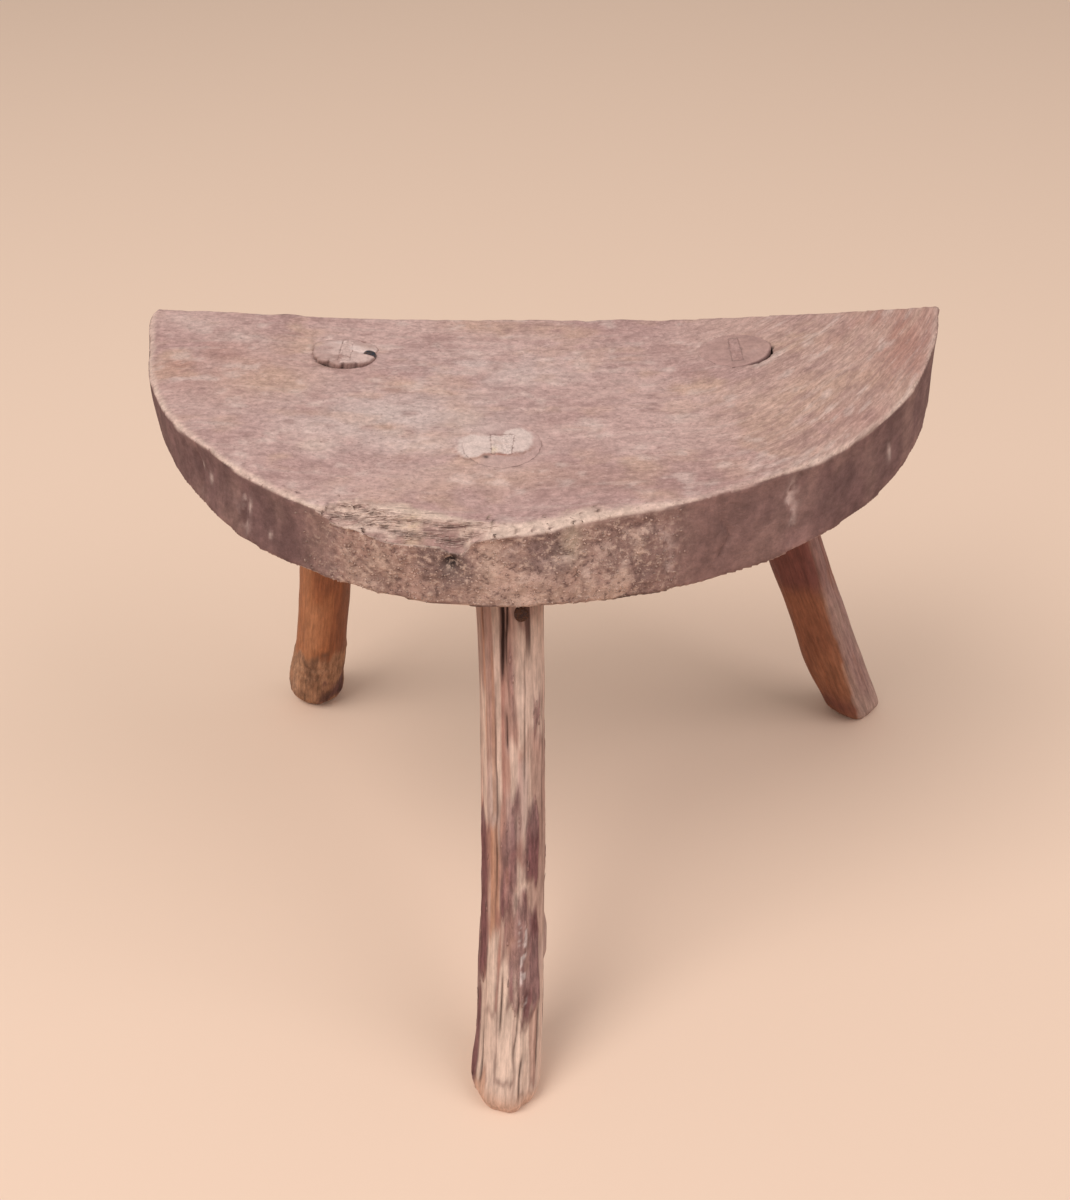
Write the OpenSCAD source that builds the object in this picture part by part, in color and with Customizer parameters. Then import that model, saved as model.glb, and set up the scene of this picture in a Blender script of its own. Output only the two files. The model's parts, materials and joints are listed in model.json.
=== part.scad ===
// Three-legged milking stool. The seat is a half-round plank hewn from a log, and three stick
// legs splay out under it. Each leg ends in a round tenon that goes right through the plank
// and is spread in its hole by a wooden wedge driven from above.
// Millimetres, +Z up, origin on the floor under the middle of the whole stool.

/* [Seat] */
// Width of the seat along its straight back edge
seat_w = 380; // [360:5:400]
// Height of the worn middle of the seat above the floor
seat_h = 265; // [250:5:290]
// Thickness of the plank under its worn middle
seat_t = 36; // [32:1:44]
// How far the worn middle lies below the ends of the plank
dish_depth = 7.5; // [5:0.5:10]
// Lowest line of the dish, measured along the back edge from its middle
dish_x = -8; // [-20:1:20]
// Radius of the rounded underside, which thins the plank towards its ends
belly_r = 1500; // [1300:50:2500]
// Lowest line of the underside, measured along the back edge from its middle
belly_x = 32; // [0:1:40]

/* [Front leg] */
// Middle of the hole, sideways from the middle of the back edge
front_hole_x = -22; // [-30:1:0]
// Middle of the hole, forward of the back edge
front_hole_y = 119; // [110:1:130]
// Lean of the leg from upright, in degrees
front_splay = 26.6; // [20:0.2:30]
// Direction that the foot points, in degrees anticlockwise from the right
front_bearing = -89.5; // [-95:0.5:-80]
// Diameter of the tenon at its spread top
front_tenon_d = 32; // [30:0.5:32]

/* [Rear left leg] */
// Middle of the hole, sideways from the middle of the back edge
left_hole_x = -97; // [-105:1:-90]
// Middle of the hole, forward of the back edge
left_hole_y = 38; // [36:1:45]
// Lean of the leg from upright, in degrees
left_splay = 17; // [12:0.2:20]
// Direction that the foot points, in degrees anticlockwise from the right
left_bearing = 123.9; // [115:0.1:140]
// Diameter of the tenon at its spread top
left_tenon_d = 28.5; // [26:0.5:30]
// How far the hammered end of the tenon stands above the seat
left_proud = 3.5; // [2:0.5:6]

/* [Rear right leg] */
// Middle of the hole, sideways from the middle of the back edge
right_hole_x = 87; // [80:1:95]
// Middle of the hole, forward of the back edge
right_hole_y = 35; // [34:1:45]
// Lean of the leg from upright, in degrees
right_splay = 22.8; // [16:0.1:24]
// Direction that the foot points, in degrees anticlockwise from the right
right_bearing = 26.7; // [20:0.1:40]
// Diameter of the tenon at its spread top
right_tenon_d = 31; // [28:0.5:31]

/* [Joints] */
// Thickness of the front wedge at its top
front_wedge_t = 9; // [5:0.5:10]
// Breadth of the front wedge
front_wedge_b = 14; // [10:1:20]
// Thickness of the rear wedges at their tops
rear_wedge_t = 4.5; // [3:0.5:6]
// Breadth of the rear wedges
rear_wedge_b = 22; // [16:1:24]
// Depth that the wedges are driven
wedge_depth = 27; // [20:1:30]
// How much wider the tenons and holes grow upwards, in mm per mm
tenon_flare = 0.07; // [0.05:0.01:0.1]
// Gap between a tenon and its hole
tenon_gap = 0.05; // [0.02:0.01:0.1]

/* [Nails] */
// Diameter of the heads
nail_head_d = 6; // [4.5:0.1:7]
// Thickness of the heads
nail_head_t = 1.6; // [1:0.1:2]
// Diameter of the shanks
nail_d = 2.6; // [2:0.1:3]
// Length under the heads
nail_len = 22; // [15:1:24]

/* [Hidden] */

weathered = "#a08a80";
stripped = "#b98f78";
barked = "#8d5a3c";
pale_end = "#cbb3a6";
iron = "#4a4d55";

half_w = seat_w / 2;
dish_r = (half_w * half_w + dish_depth * dish_depth) / (2 * dish_depth);
roller_fn = 256;
round_fn = 72;

// The hewn edge from the back left corner round to the back right corner, in shares of half
// the width. It bulges at the left front and is nearly straight at the right front.
hewn_edge = [[-1, 0], [-0.965, -0.35], [-0.83, -0.66], [-0.6, -0.885], [-0.3, -1], [0, -0.98],
             [0.31, -0.855], [0.6, -0.725], [0.79, -0.535], [0.92, -0.29], [1, 0]];
edge_steps = 5; // stretches of the smooth outline between two of these points

// A leg is [hole x, hole y, splay, bearing, tenon diameter, tenon end above the seat], with
// x and y from the middle of the back edge.
front_leg = [front_hole_x, -front_hole_y, front_splay, front_bearing, front_tenon_d, 0];
left_leg = [left_hole_x, -left_hole_y, left_splay, left_bearing, left_tenon_d, left_proud];
right_leg = [right_hole_x, -right_hole_y, right_splay, right_bearing, right_tenon_d, 0];

// A stick is [half width under the seat, half width at the foot, how square it is, turn of
// its corners, bow, bearing of the bow].
front_stick = [15, 15.8, 0.02, 40, 4.5, 0];
left_stick = [14, 15, 0, 0, 1, 200];
right_stick = [14.6, 15, 0.03, 20, 3.5, 170];

stick_sides = 20;
stick_levels = 12;
foot_wear = 4;              // how far a foot's rim is worn back where it meets the floor
foot_wear_height = 8;       // height of that worn rim
stick_top = seat_h - 12;    // the sticks are drawn up into the plank, then scribed to it
bow_top = seat_h - seat_t;  // a stick is in line with its tenon again at this height

mushroom = 1.4;          // how far the hammered end of the rear left tenon spreads
left_nail_at = [11.2, -2.5]; // the nail in the rim of that end, from the tenon's axis
front_nail_below = 70.5;  // the nail in the front leg, down the leg from the seat's top
front_nail_side = 8;     // and to the right of the tenon's axis
front_nail_sink = 12.9;  // underside of its head in front of the tenon's axis
wedge_tip_t = 1.2;       // thickness of a wedge's thin end
wedge_rise = 14;         // the wedges are drawn this far above the seat, then cut level

// Height and slope of the dished top over x.
function dish_height(x) = seat_h + dish_r - sqrt(dish_r * dish_r - pow(x - dish_x, 2));
function dish_slope(x) = asin((x - dish_x) / dish_r);

// A smooth curve through b and c, with a and d as the points before and after them.
function smooth(a, b, c, d, t) =
    0.5 * (2 * b + (c - a) * t + (2 * a - 5 * b + 4 * c - d) * t * t
           + (3 * b - a - 3 * c + d) * t * t * t);

function edge_point(i, t) =
    let (last = len(hewn_edge) - 1)
    half_w * smooth(hewn_edge[max(i - 1, 0)], hewn_edge[i], hewn_edge[i + 1],
                    hewn_edge[min(i + 2, last)], t);

seat_outline = concat([for (i = [0 : len(hewn_edge) - 2], s = [0 : edge_steps - 1])
                       edge_point(i, s / edge_steps)], [[half_w, 0]]);

// The middle of a stick at height z: a straight line from the foot to the hole, plus the bow.
function stick_middle(leg, stick, z) =
    let (run = (seat_h - z) * tan(leg[2]), bow = stick[4] * sin(180 * min(1, z / bow_top)))
    [leg[0] + run * cos(leg[3]) + bow * cos(stick[5]),
     leg[1] + run * sin(leg[3]) + bow * sin(stick[5])];

function stick_half_width(stick, z) =
    stick[1] + (stick[0] - stick[1]) * z / seat_h
    - foot_wear * pow(max(0, 1 - z / foot_wear_height), 2);

// A level slice through a leaning round stick is stretched along the lean.
function stick_point(leg, stick, z, a) =
    let (r = stick_half_width(stick, z) * (1 + stick[2] * cos(4 * (a - stick[3]))),
         along = r * cos(a - leg[3]) / cos(leg[2]), across = r * sin(a - leg[3]),
         middle = stick_middle(leg, stick, z))
    [middle[0] + along * cos(leg[3]) - across * sin(leg[3]),
     middle[1] + along * sin(leg[3]) + across * cos(leg[3]), z];

stick_heights = concat([0, foot_wear_height / 2],
                       [for (i = [0 : stick_levels])
                        foot_wear_height + (stick_top - foot_wear_height) * i / stick_levels]);

function stick_rings(leg, stick) =
    [for (z = stick_heights) [for (k = [0 : stick_sides - 1])
                              stick_point(leg, stick, z, 360 * k / stick_sides)]];

// The stool's own extent, so that it can be centred over the origin.
outer_points = concat(seat_outline,
                      [for (pair = [[front_leg, front_stick], [left_leg, left_stick],
                                    [right_leg, right_stick]],
                            ring = stick_rings(pair[0], pair[1]), p = ring) [p[0], p[1]]]);
low = [min([for (p = outer_points) p[0]]), min([for (p = outer_points) p[1]])];
high = [max([for (p = outer_points) p[0]]), max([for (p = outer_points) p[1]])];

module centred() {
    translate([-(low[0] + high[0]) / 2, -(low[1] + high[1]) / 2, 0]) children();
}

// A very large roller lying front to back, with its lowest line at height z over x.
module roller(x, z, r) {
    translate([x, 0, z + r]) rotate([90, 0, 0])
        cylinder(r = r, h = 4 * seat_w, center = true, $fn = roller_fn);
}

module above_dish() {
    roller(dish_x, seat_h, dish_r);
}

module above_underside() {
    roller(belly_x, seat_h - seat_t, belly_r);
}

// Everything that was pared off above a tenon, level with the seat around it.
module above_tenon(leg) {
    translate([leg[0], leg[1], dish_height(leg[0]) + leg[5]]) rotate([0, -dish_slope(leg[0]), 0])
        translate([-seat_t, -seat_t, 0]) cube(2 * seat_t);
}

// Stands a piece on a leg's axis, with z along the leg and its zero at the height seat_h.
module on_axis(leg) {
    d = [-sin(leg[2]) * cos(leg[3]), -sin(leg[2]) * sin(leg[3]), cos(leg[2])];
    translate([leg[0], leg[1], seat_h]) rotate([-asin(d[1]), atan2(d[0], d[2]), 0]) children();
}

module stick_body(leg, stick) {
    rings = stick_rings(leg, stick);
    n = stick_sides;
    last = len(rings) - 1;
    points = [for (ring = rings, p = ring) p];
    sides = [for (j = [0 : last - 1], k = [0 : n - 1])
             each [[j * n + k, (j + 1) * n + k, (j + 1) * n + (k + 1) % n],
                   [j * n + k, (j + 1) * n + (k + 1) % n, j * n + (k + 1) % n]]];
    foot = [[for (k = [0 : n - 1]) k]];
    top = [[for (k = [n - 1 : -1 : 0]) last * n + k]];
    polyhedron(points = points, faces = concat(sides, foot, top), convexity = 4);
}

// A round tenon through the seat, or with a gap its hole. It widens upwards, because its wedge
// spreads it, so that the leg can't drop out.
module tenon(leg, gap = 0) {
    down = 1.6 * seat_t;
    up = seat_t;
    on_axis(leg) translate([0, 0, -down])
        cylinder(d1 = leg[4] - tenon_flare * down + 2 * gap, d2 = leg[4] + tenon_flare * up + 2 * gap,
                 h = down + up, $fn = round_fn);
}

// A leg: the stick scribed to the underside of the seat, and the tenon cut level with its top.
module leg(leg, stick) {
    difference() {
        stick_body(leg, stick);
        above_underside();
    }
    difference() {
        tenon(leg);
        above_tenon(leg);
    }
}

// A wedge on its tenon's axis. It stands across the grain, so that it can't split the seat.
module whole_wedge(leg, thick, broad) {
    growth = (thick - wedge_tip_t) / wedge_depth;
    top_t = thick + growth * wedge_rise;
    on_axis(leg) rotate([90, 0, 0]) linear_extrude(height = broad, center = true)
        polygon([[-wedge_tip_t / 2, -wedge_depth], [wedge_tip_t / 2, -wedge_depth],
                 [top_t / 2, wedge_rise], [-top_t / 2, wedge_rise]]);
}

module wedge(leg, thick, broad) {
    color(pale_end) difference() {
        whole_wedge(leg, thick, broad);
        above_tenon(leg);
    }
}

// A nail pointing down, with the underside of its head at z = 0.
module nail() {
    translate([0, 0, -nail_len]) cylinder(d = nail_d, h = nail_len + 0.5, $fn = round_fn);
    cylinder(d = nail_head_d, h = nail_head_t, $fn = round_fn);
}

// Driven down the rim of the hammered tenon.
module placed_nail_rear_left() {
    on_axis(left_leg) translate([left_nail_at[0], left_nail_at[1], left_proud - 0.6]) nail();
}

// Driven square into the front of the leg, beside the split in its top.
module placed_nail_front() {
    on_axis(front_leg) translate([front_nail_side, -front_nail_sink, -front_nail_below])
        rotate([90, 0, 0]) nail();
}

module seat() {
    color(weathered) difference() {
        intersection() {
            translate([0, 0, seat_h - 2 * seat_t]) linear_extrude(height = 3 * seat_t)
                polygon(seat_outline);
            above_underside();
        }
        above_dish();
        for (leg = [front_leg, left_leg, right_leg]) tenon(leg, tenon_gap);
    }
}

module leg_front() {
    color(stripped) difference() {
        leg(front_leg, front_stick);
        whole_wedge(front_leg, front_wedge_t, front_wedge_b);
        placed_nail_front();
    }
}

// The end of this tenon stands above the seat and was spread by the hammer.
module hammered_end() {
    difference() {
        intersection() {
            on_axis(left_leg)
                cylinder(d = left_tenon_d + 2 * mushroom, h = 2 * seat_t, center = true, $fn = round_fn);
            above_dish();
        }
        above_tenon(left_leg);
    }
}

module leg_rear_left() {
    color(barked) difference() {
        union() {
            leg(left_leg, left_stick);
            hammered_end();
        }
        whole_wedge(left_leg, rear_wedge_t, rear_wedge_b);
        placed_nail_rear_left();
    }
}

module leg_rear_right() {
    color(barked) difference() {
        leg(right_leg, right_stick);
        whole_wedge(right_leg, rear_wedge_t, rear_wedge_b);
    }
}

module wedge_front() {
    wedge(front_leg, front_wedge_t, front_wedge_b);
}

module wedge_rear_left() {
    wedge(left_leg, rear_wedge_t, rear_wedge_b);
}

module wedge_rear_right() {
    wedge(right_leg, rear_wedge_t, rear_wedge_b);
}

module nail_front() {
    color(iron) placed_nail_front();
}

module nail_rear_left() {
    color(iron) placed_nail_rear_left();
}

centred() seat();
centred() leg_front();
centred() leg_rear_left();
centred() leg_rear_right();
centred() wedge_front();
centred() wedge_rear_left();
centred() wedge_rear_right();
centred() nail_front();
centred() nail_rear_left();
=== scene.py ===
import json
import math

import bmesh
import bpy
import numpy as np
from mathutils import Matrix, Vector
from mathutils.bvhtree import BVHTree
from mathutils.kdtree import KDTree


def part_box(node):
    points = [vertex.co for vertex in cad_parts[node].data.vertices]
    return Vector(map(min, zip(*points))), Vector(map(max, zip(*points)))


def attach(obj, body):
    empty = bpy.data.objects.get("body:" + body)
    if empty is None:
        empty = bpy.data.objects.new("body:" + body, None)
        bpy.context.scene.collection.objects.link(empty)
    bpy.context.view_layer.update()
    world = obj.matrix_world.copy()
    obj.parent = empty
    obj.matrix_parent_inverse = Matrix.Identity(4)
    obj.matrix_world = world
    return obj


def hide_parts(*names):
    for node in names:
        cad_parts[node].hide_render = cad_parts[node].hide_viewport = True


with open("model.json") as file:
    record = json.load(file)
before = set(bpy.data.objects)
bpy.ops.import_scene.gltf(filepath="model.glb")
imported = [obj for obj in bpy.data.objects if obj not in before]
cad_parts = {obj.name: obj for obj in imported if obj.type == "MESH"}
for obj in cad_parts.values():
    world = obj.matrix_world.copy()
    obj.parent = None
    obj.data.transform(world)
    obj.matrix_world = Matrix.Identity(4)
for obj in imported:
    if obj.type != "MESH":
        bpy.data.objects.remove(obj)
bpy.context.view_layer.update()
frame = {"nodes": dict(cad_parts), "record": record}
mm = 0.001

# ---------------------------------------------------------------------------------------
# The seat: a half-round plank, split and hewn from a log and worn hollow by use. Its front
# edge is rubbed pale, with a painted highlight along it, and torn away in layers at the left
# of its middle. Its three leaning holes were bored right through for the tenons of the legs.
# ---------------------------------------------------------------------------------------

seat_low, seat_high = (np.array(corner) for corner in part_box("seat"))
back_mid = np.array([(seat_low[0] + seat_high[0]) / 2, seat_high[1]])
half_width = (seat_high[0] - seat_low[0]) / 2
skin_grain = 1.38 * mm


def ramp(start, end, x):
    """0 at start, 1 at end, smooth between them and level beyond."""
    t = np.clip((x - start) / (end - start), 0, 1)
    return t * t * (3 - 2 * t)


def swell(x, middle, reach):
    """1 at the middle, dying away smoothly at about reach on each side."""
    return np.exp(-(((x - middle) / reach) ** 2))


def lumps(places, size, seed, stretch=(1, 1, 1)):
    """Smooth random hills and hollows from -1 to 1, about `size` across."""
    scaled = places / (size * np.array(stretch, float)) + seed * 17.31
    corner = np.floor(scaled).astype(np.int64)
    part = scaled - corner
    part = part * part * (3 - 2 * part)
    total = np.zeros(len(places))
    for offset in np.ndindex(2, 2, 2):
        at = corner + offset
        key = at[:, 0] * 374761393 + at[:, 1] * 668265263 + at[:, 2] * 1440662683 + seed * 97
        key = (key ^ (key >> 13)) * 1274126177
        value = ((key ^ (key >> 16)) & 65535) / 32767.5 - 1
        weight = np.prod(np.where(offset, part, 1 - part), axis=1)
        total += value * weight
    return total


def rough(places, size, seed, stretch=(1, 1, 1), layers=3):
    """Lumps on lumps, each layer half the size and height of the one before."""
    return sum(lumps(places, size / 2**k, seed + k, stretch) / 2**k for k in range(layers))


def points_of(mesh):
    flat = np.empty(len(mesh.vertices) * 3)
    mesh.vertices.foreach_get("co", flat)
    return flat.reshape(-1, 3)


def normals_of(mesh):
    flat = np.empty(len(mesh.vertices) * 3)
    mesh.vertex_normals.foreach_get("vector", flat)
    return flat.reshape(-1, 3)


def move_points(mesh, places):
    mesh.vertices.foreach_set("co", places.ravel())
    mesh.update()


def mark(mesh, name, values):
    """Writes one number a vertex that a material can read by name."""
    layer = mesh.attributes.new(name, "FLOAT", "POINT")
    layer.data.foreach_set("value", np.asarray(values, np.float32))


def lay_grain(mesh, along, across, depth):
    """Writes the place of each vertex in the straight tree, with the fibres running along X."""
    layer = mesh.attributes.new("grain", "FLOAT_VECTOR", "POINT")
    layer.data.foreach_set("vector", np.column_stack([along, across, depth]).astype(np.float32).ravel())


def add_object(name, mesh):
    piece = bpy.data.objects.new(name, mesh)
    bpy.context.scene.collection.objects.link(piece)
    return piece


def add_mesh_object(name, places, faces):
    mesh = bpy.data.meshes.new(name)
    mesh.from_pydata(places, [], faces)
    return add_object(name, mesh)


def apply_modifiers(piece):
    """Turns what the modifiers make into the piece's own plain mesh."""
    solved = piece.evaluated_get(bpy.context.evaluated_depsgraph_get())
    made = bpy.data.meshes.new_from_object(solved)
    piece.modifiers.clear()
    piece.data = made
    return piece


def closed_copy(node):
    """A merged copy of a CAD node's mesh."""
    shape = bmesh.new()
    shape.from_mesh(frame["nodes"][node].data)
    bmesh.ops.remove_doubles(shape, verts=shape.verts, dist=1e-6)
    mesh = bpy.data.meshes.new(node)
    shape.to_mesh(mesh)
    shape.free()
    return mesh


def even_skin(piece, size):
    """Gives the piece a skin of even small faces that can be carved."""
    skin = piece.modifiers.new("even skin", "REMESH")
    skin.mode = "VOXEL"
    skin.voxel_size = size
    return apply_modifiers(piece)


def tenon_axis(side):
    """The line that a tenon and its wedge share: the middles of the wedge's tip and top."""
    corners = points_of(closed_copy("wedge_" + side))
    corners = corners[np.argsort(corners[:, 2])]
    return corners[:4].mean(axis=0), corners[4:].mean(axis=0)


def from_axis(side, places):
    """How far each place is from a tenon's axis, and its bearing from it in degrees, in plan."""
    tip, top = tenon_axis(side)
    share = (places[:, 2] - tip[2]) / (top[2] - tip[2])
    offset = places[:, :2] - (tip[:2] + share[:, None] * (top[:2] - tip[:2]))
    return np.linalg.norm(offset, axis=1), np.degrees(np.arctan2(offset[:, 1], offset[:, 0]))


seat = even_skin(add_object("seat_plank", closed_copy("seat")), skin_grain)
p = points_of(seat.data)
n = normals_of(seat.data)
hole_reach = 20 * mm
to_hole = {side: from_axis(side, p) for side in ("front", "rear_left", "rear_right")}
hole_distance = np.min([distance for distance, bearing in to_hole.values()], axis=0)
in_hole = (np.abs(n[:, 2]) < 0.8) & (hole_distance < hole_reach)
on_top = (n[:, 2] > 0.8) & (hole_distance > hole_reach)
on_wall = (np.abs(n[:, 2]) < 0.4) & ~in_hole
below = (n[:, 2] < -0.8) & (hole_distance > hole_reach)
top_line = np.polyfit(p[on_top, 0], p[on_top, 2], 2)
under_line = np.polyfit(p[below, 0], p[below, 2], 2)

# How far each point is in from the outline, and which way is out.
rim = KDTree(int(on_wall.sum()))
rim_points = p[on_wall]
rim_out = n[on_wall] * (1, 1, 0)
for number, place in enumerate(rim_points):
    rim.insert((place[0], place[1], 0), number)
rim.balance()
nearest = np.array([rim.find((x, y, 0))[1:] for x, y, z in p])
inset = nearest[:, 1]
out = rim_out[nearest[:, 0].astype(int)]
out /= np.linalg.norm(out, axis=1)[:, None]
rim_x = rim_points[nearest[:, 0].astype(int), 0] - back_mid[0]
front_side = ramp(0.3, -0.1, out[:, 1])

# The worn and torn arris. A slope is cut off the corner between the top and the wall. At
# each place along the rim it reaches `back` into the top and `down` the wall.
torn_x = np.array([-99, -88, -66, -46, -42, -37, -33, -27, -14, 2, 22]) * mm
torn_back = np.array([0, 10, 16, 15, 14, 13, 9, 6, 4, 3, 0]) * mm
torn_down = np.array([0, 3.2, 4.4, 6.0, 9.5, 9.0, 3.0, 1.8, 1.3, 1.1, 0]) * mm
arris = 1.3 * mm + 0.5 * mm * lumps(p, 14 * mm, 3)
ragged = 1 + 0.34 * rough(p, 10 * mm, 5, (2, 1, 1))
down = (arris + front_side * np.interp(rim_x, torn_x, torn_down)) * ragged
back = (arris * 1.3 + front_side * np.interp(rim_x, torn_x, torn_back)) * ragged
depth = np.polyval(top_line, p[:, 0]) - p[:, 2]
over = 1 - (inset / back + depth / down)
cut = np.clip(over, 0, None) / (1 / back**2 + 1 / down**2) ** 0.5
slope = np.hypot(back, down)
carved = p - out * (cut * down / slope)[:, None]
carved[:, 2] -= cut * back / slope
torn_reach = ramp(-99 * mm, -90 * mm, rim_x) * ramp(-24 * mm, -32 * mm, rim_x)
torn = np.clip(over * 5, 0, 1) * front_side * torn_reach
worn_edge = np.clip(over * 4, 0, 1) * front_side

# The plank's own shape. Its wall leans: at each place along the rim the top edge and the
# bottom edge are set in by so much. The front hangs lower right of the middle, the left end
# is fuller at the back, and both back corners are rounded off.
right = p[:, 0] - back_mid[0]
forward = back_mid[1] - p[:, 1]
lean_x = np.array([-190, -170, -150, -125, -105, -85, -60, -35, 0, 12, 30, 45, 65, 95, 130, 160, 188])
top_in = np.array([0, 3, 8, 9, 7.5, 6, 5.5, 5.5, 5, 6.5, 5, 2, 0, 3, 3.5, 3, 1])
low_in = np.array([2, 4, 4, 4, 5, 5, 4.5, 3, 0, -1, -2, -2.5, -2.5, -1.5, 0, 0, 0])
height = ramp(234 * mm, 264 * mm, p[:, 2])
edge_in = [np.interp(rim_x / mm, lean_x, table) * mm for table in (low_in, top_in)]
set_in = edge_in[0] * (1 - height) + edge_in[1] * height
carved -= out * (set_in * front_side * ramp(45 * mm, 0, inset))[:, None]
low = ramp(256 * mm, 233 * mm, p[:, 2])
carved[:, 2] -= 4.5 * mm * low * swell(right, 66 * mm, 36 * mm) * ramp(40 * mm, 100 * mm, forward)
carved[:, 0] -= 4 * mm * ramp(-150 * mm, -186 * mm, right) * ramp(48 * mm, 10 * mm, forward)
for side, bulge, radius in ((-1, 4 * mm, 11 * mm), (1, 0, 5 * mm)):
    beyond = side * (carved[:, 0] - back_mid[0]) - (half_width + bulge - radius)
    behind = radius - (back_mid[1] - carved[:, 1])
    distance = np.hypot(beyond, behind)
    pull = np.where((beyond > 0) & (behind > 0) & (distance > radius), radius / distance, 1)
    carved[:, 0] -= side * beyond * (1 - pull)
    carved[:, 1] -= behind * (1 - pull)
move_points(seat.data, carved)

# Broad hollows left by the adze and the sitter, ripples along the grain, axe flats on the
# wall, dry wood crumbling away in the middle of the front, and the long fibres of the back,
# which was riven and never hewn.
p = points_of(seat.data)
n = normals_of(seat.data)
top = ramp(0.45, 0.85, n[:, 2])
under = ramp(-0.45, -0.85, n[:, 2])
wall = 1 - top - under


def with_the_grain(places):
    """Places moved so that the fibres run straight along X. They sweep back at the right."""
    bent = places.copy()
    bent[:, 1] -= 8 * np.clip(places[:, 0] - back_mid[0] - 50 * mm, 0, None) ** 2
    bent[:, 1] += 4 * mm * lumps(places, 60 * mm, 11)
    return bent


bent = with_the_grain(p)
crumbly = wall * front_side * ramp(-112 * mm, -80 * mm, right) * ramp(62 * mm, 30 * mm, right)
crumbly = np.clip(crumbly - torn, 0, 1)
riven = wall * (1 - front_side)
figure = 0.15 + 0.85 * ramp(40 * mm, 110 * mm, right) + riven
figure += 0.6 * swell(forward, 150 * mm, 16 * mm) * ramp(-20 * mm, 20 * mm, right)
figure = np.clip(figure, 0, 1)
grainy = figure * rough(bent, 3.6 * mm, 23, (7, 1, 1)) + rough(p, 4 * mm, 25, (1.3, 1, 1))
relief = top * mm * (0.6 * lumps(p, 34 * mm, 21, (1.4, 1, 1)) + 0.2 * grainy)
relief += wall * mm * (lumps(p, 24 * mm, 31, (1, 1, 2)) + 0.25 * rough(p, 7 * mm, 33, (1, 1, 2)))
relief += riven * mm * (0.45 * rough(p, 4 * mm, 36, (9, 1, 1)) + 0.5 * lumps(p, 12 * mm, 38, (5, 1, 1)))
relief += crumbly * ramp(1.5 * mm, 7 * mm, depth) * mm * (0.75 * rough(p, 6 * mm, 35) - 0.5)
relief += under * mm * (1.2 * np.abs(lumps(p, 26 * mm, 37, (1.5, 1, 1))) - 0.5)
relief += under * 0.35 * mm * rough(bent, 4 * mm, 39, (6, 1, 1))

# The torn wood lifts in two ledges, and the holes have opened where the tenons shrank.
shreds = rough(p, 4 * mm, 43, (4, 1, 1))
down_slope = np.clip((depth + cut * back / slope) / down, 0, 1.2) + 0.16 * rough(p, 15 * mm, 41, (1.6, 1, 1))
ledges = np.zeros(len(p))
for line in (0.36, 0.7):
    relief += torn * mm * (1.3 * ramp(line + 0.04, line - 0.04, down_slope) - 0.65)
    ledges = np.maximum(ledges, torn * swell(down_slope, line + 0.04, 0.05))
relief += torn * 0.4 * mm * shreds
gap = np.full(len(p), -0.1)
for side, widest, facing in (("rear_left", 0.8, -100), ("rear_right", 0.75, -38)):
    distance, bearing = to_hole[side]
    away = np.abs((bearing - facing + 180) % 360 - 180)
    gap = np.where(distance < hole_reach, widest * ramp(80, 30, away) - 0.1, gap)
relief -= in_hole * gap * (1 + 0.4 * lumps(p, 6 * mm, 45)) * mm


def split(start, end, along, across, width):
    """A narrow groove that tapers out towards both its ends: 1 in its middle."""
    taper = 0.3 * (end - start)
    length = ramp(start, start + taper, along) * ramp(end, end - taper, along)
    return length * np.exp(-np.abs(across / width) ** 1.5)


def on_wall_at(x, reach, height, reach_up):
    """A soft spot on the wall, this far right of the middle and above the floor, in mm."""
    return swell(right, x * mm, reach * mm) * swell(p[:, 2], height * mm, reach_up * mm)


# Checks: splits that dried open along the grain of the top and of the riven back, and down
# the wall. A small pit has worn in under the torn place.
across_grain = back_mid[1] - bent[:, 1]
for start, end, line in ((60, 150, 63), (-172, -118, 92), (-30, 40, 30), (20, 75, 104), (-140, -90, 30)):
    relief -= 0.8 * mm * top * split(start * mm, end * mm, right, across_grain - line * mm, 0.9 * mm)
wander = 2.5 * mm * lumps(p, 9 * mm, 51)
wall_checks = (
    (46, 226, 264), (99, 230, 268), (-134, 238, 262), (8, 226, 248), (70, 230, 258), (-155, 242, 266),
)
for x, start, end in wall_checks:
    groove = split(start * mm, end * mm, p[:, 2], right + wander - x * mm, 1.1 * mm)
    relief -= 1.4 * mm * wall * front_side * groove
for start, end, height in ((-150, -30, 252), (-20, 120, 246), (60, 175, 258), (-120, -10, 241)):
    groove = split(start * mm, end * mm, right, p[:, 2] - height * mm + 0.3 * wander, 0.9 * mm)
    relief -= 1.3 * mm * riven * groove
pit = on_wall_at(-41, 3, 251, 4) * front_side
relief -= 3.2 * mm * pit
move_points(seat.data, p + n * relief[:, None])

p = points_of(seat.data)
n = normals_of(seat.data)
top = ramp(0.3, 0.7, n[:, 2])
under = ramp(-0.45, -0.85, n[:, 2])
wall = 1 - top - under


def skin_of(mesh):
    """A piece's surface, to be felt for with a ray."""
    return BVHTree.FromPolygons(points_of(mesh).tolist(), [tuple(face.vertices) for face in mesh.polygons])


seat_skin = skin_of(seat.data)


class Paint:
    """The broad colouring of a piece, one colour a vertex."""

    def __init__(self, count, colour):
        self.colour = np.ones((count, 1)) * colour

    def dab(self, colour, share):
        share = np.clip(share, 0, 1)[:, None]
        self.colour = self.colour * (1 - share) + np.array(colour) * share

    def lay(self, mesh):
        layer = mesh.color_attributes.new("paint", "FLOAT_COLOR", "POINT")
        full = np.column_stack([self.colour, np.ones(len(self.colour))])
        layer.data.foreach_set("color", full.astype(np.float32).ravel())


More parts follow.
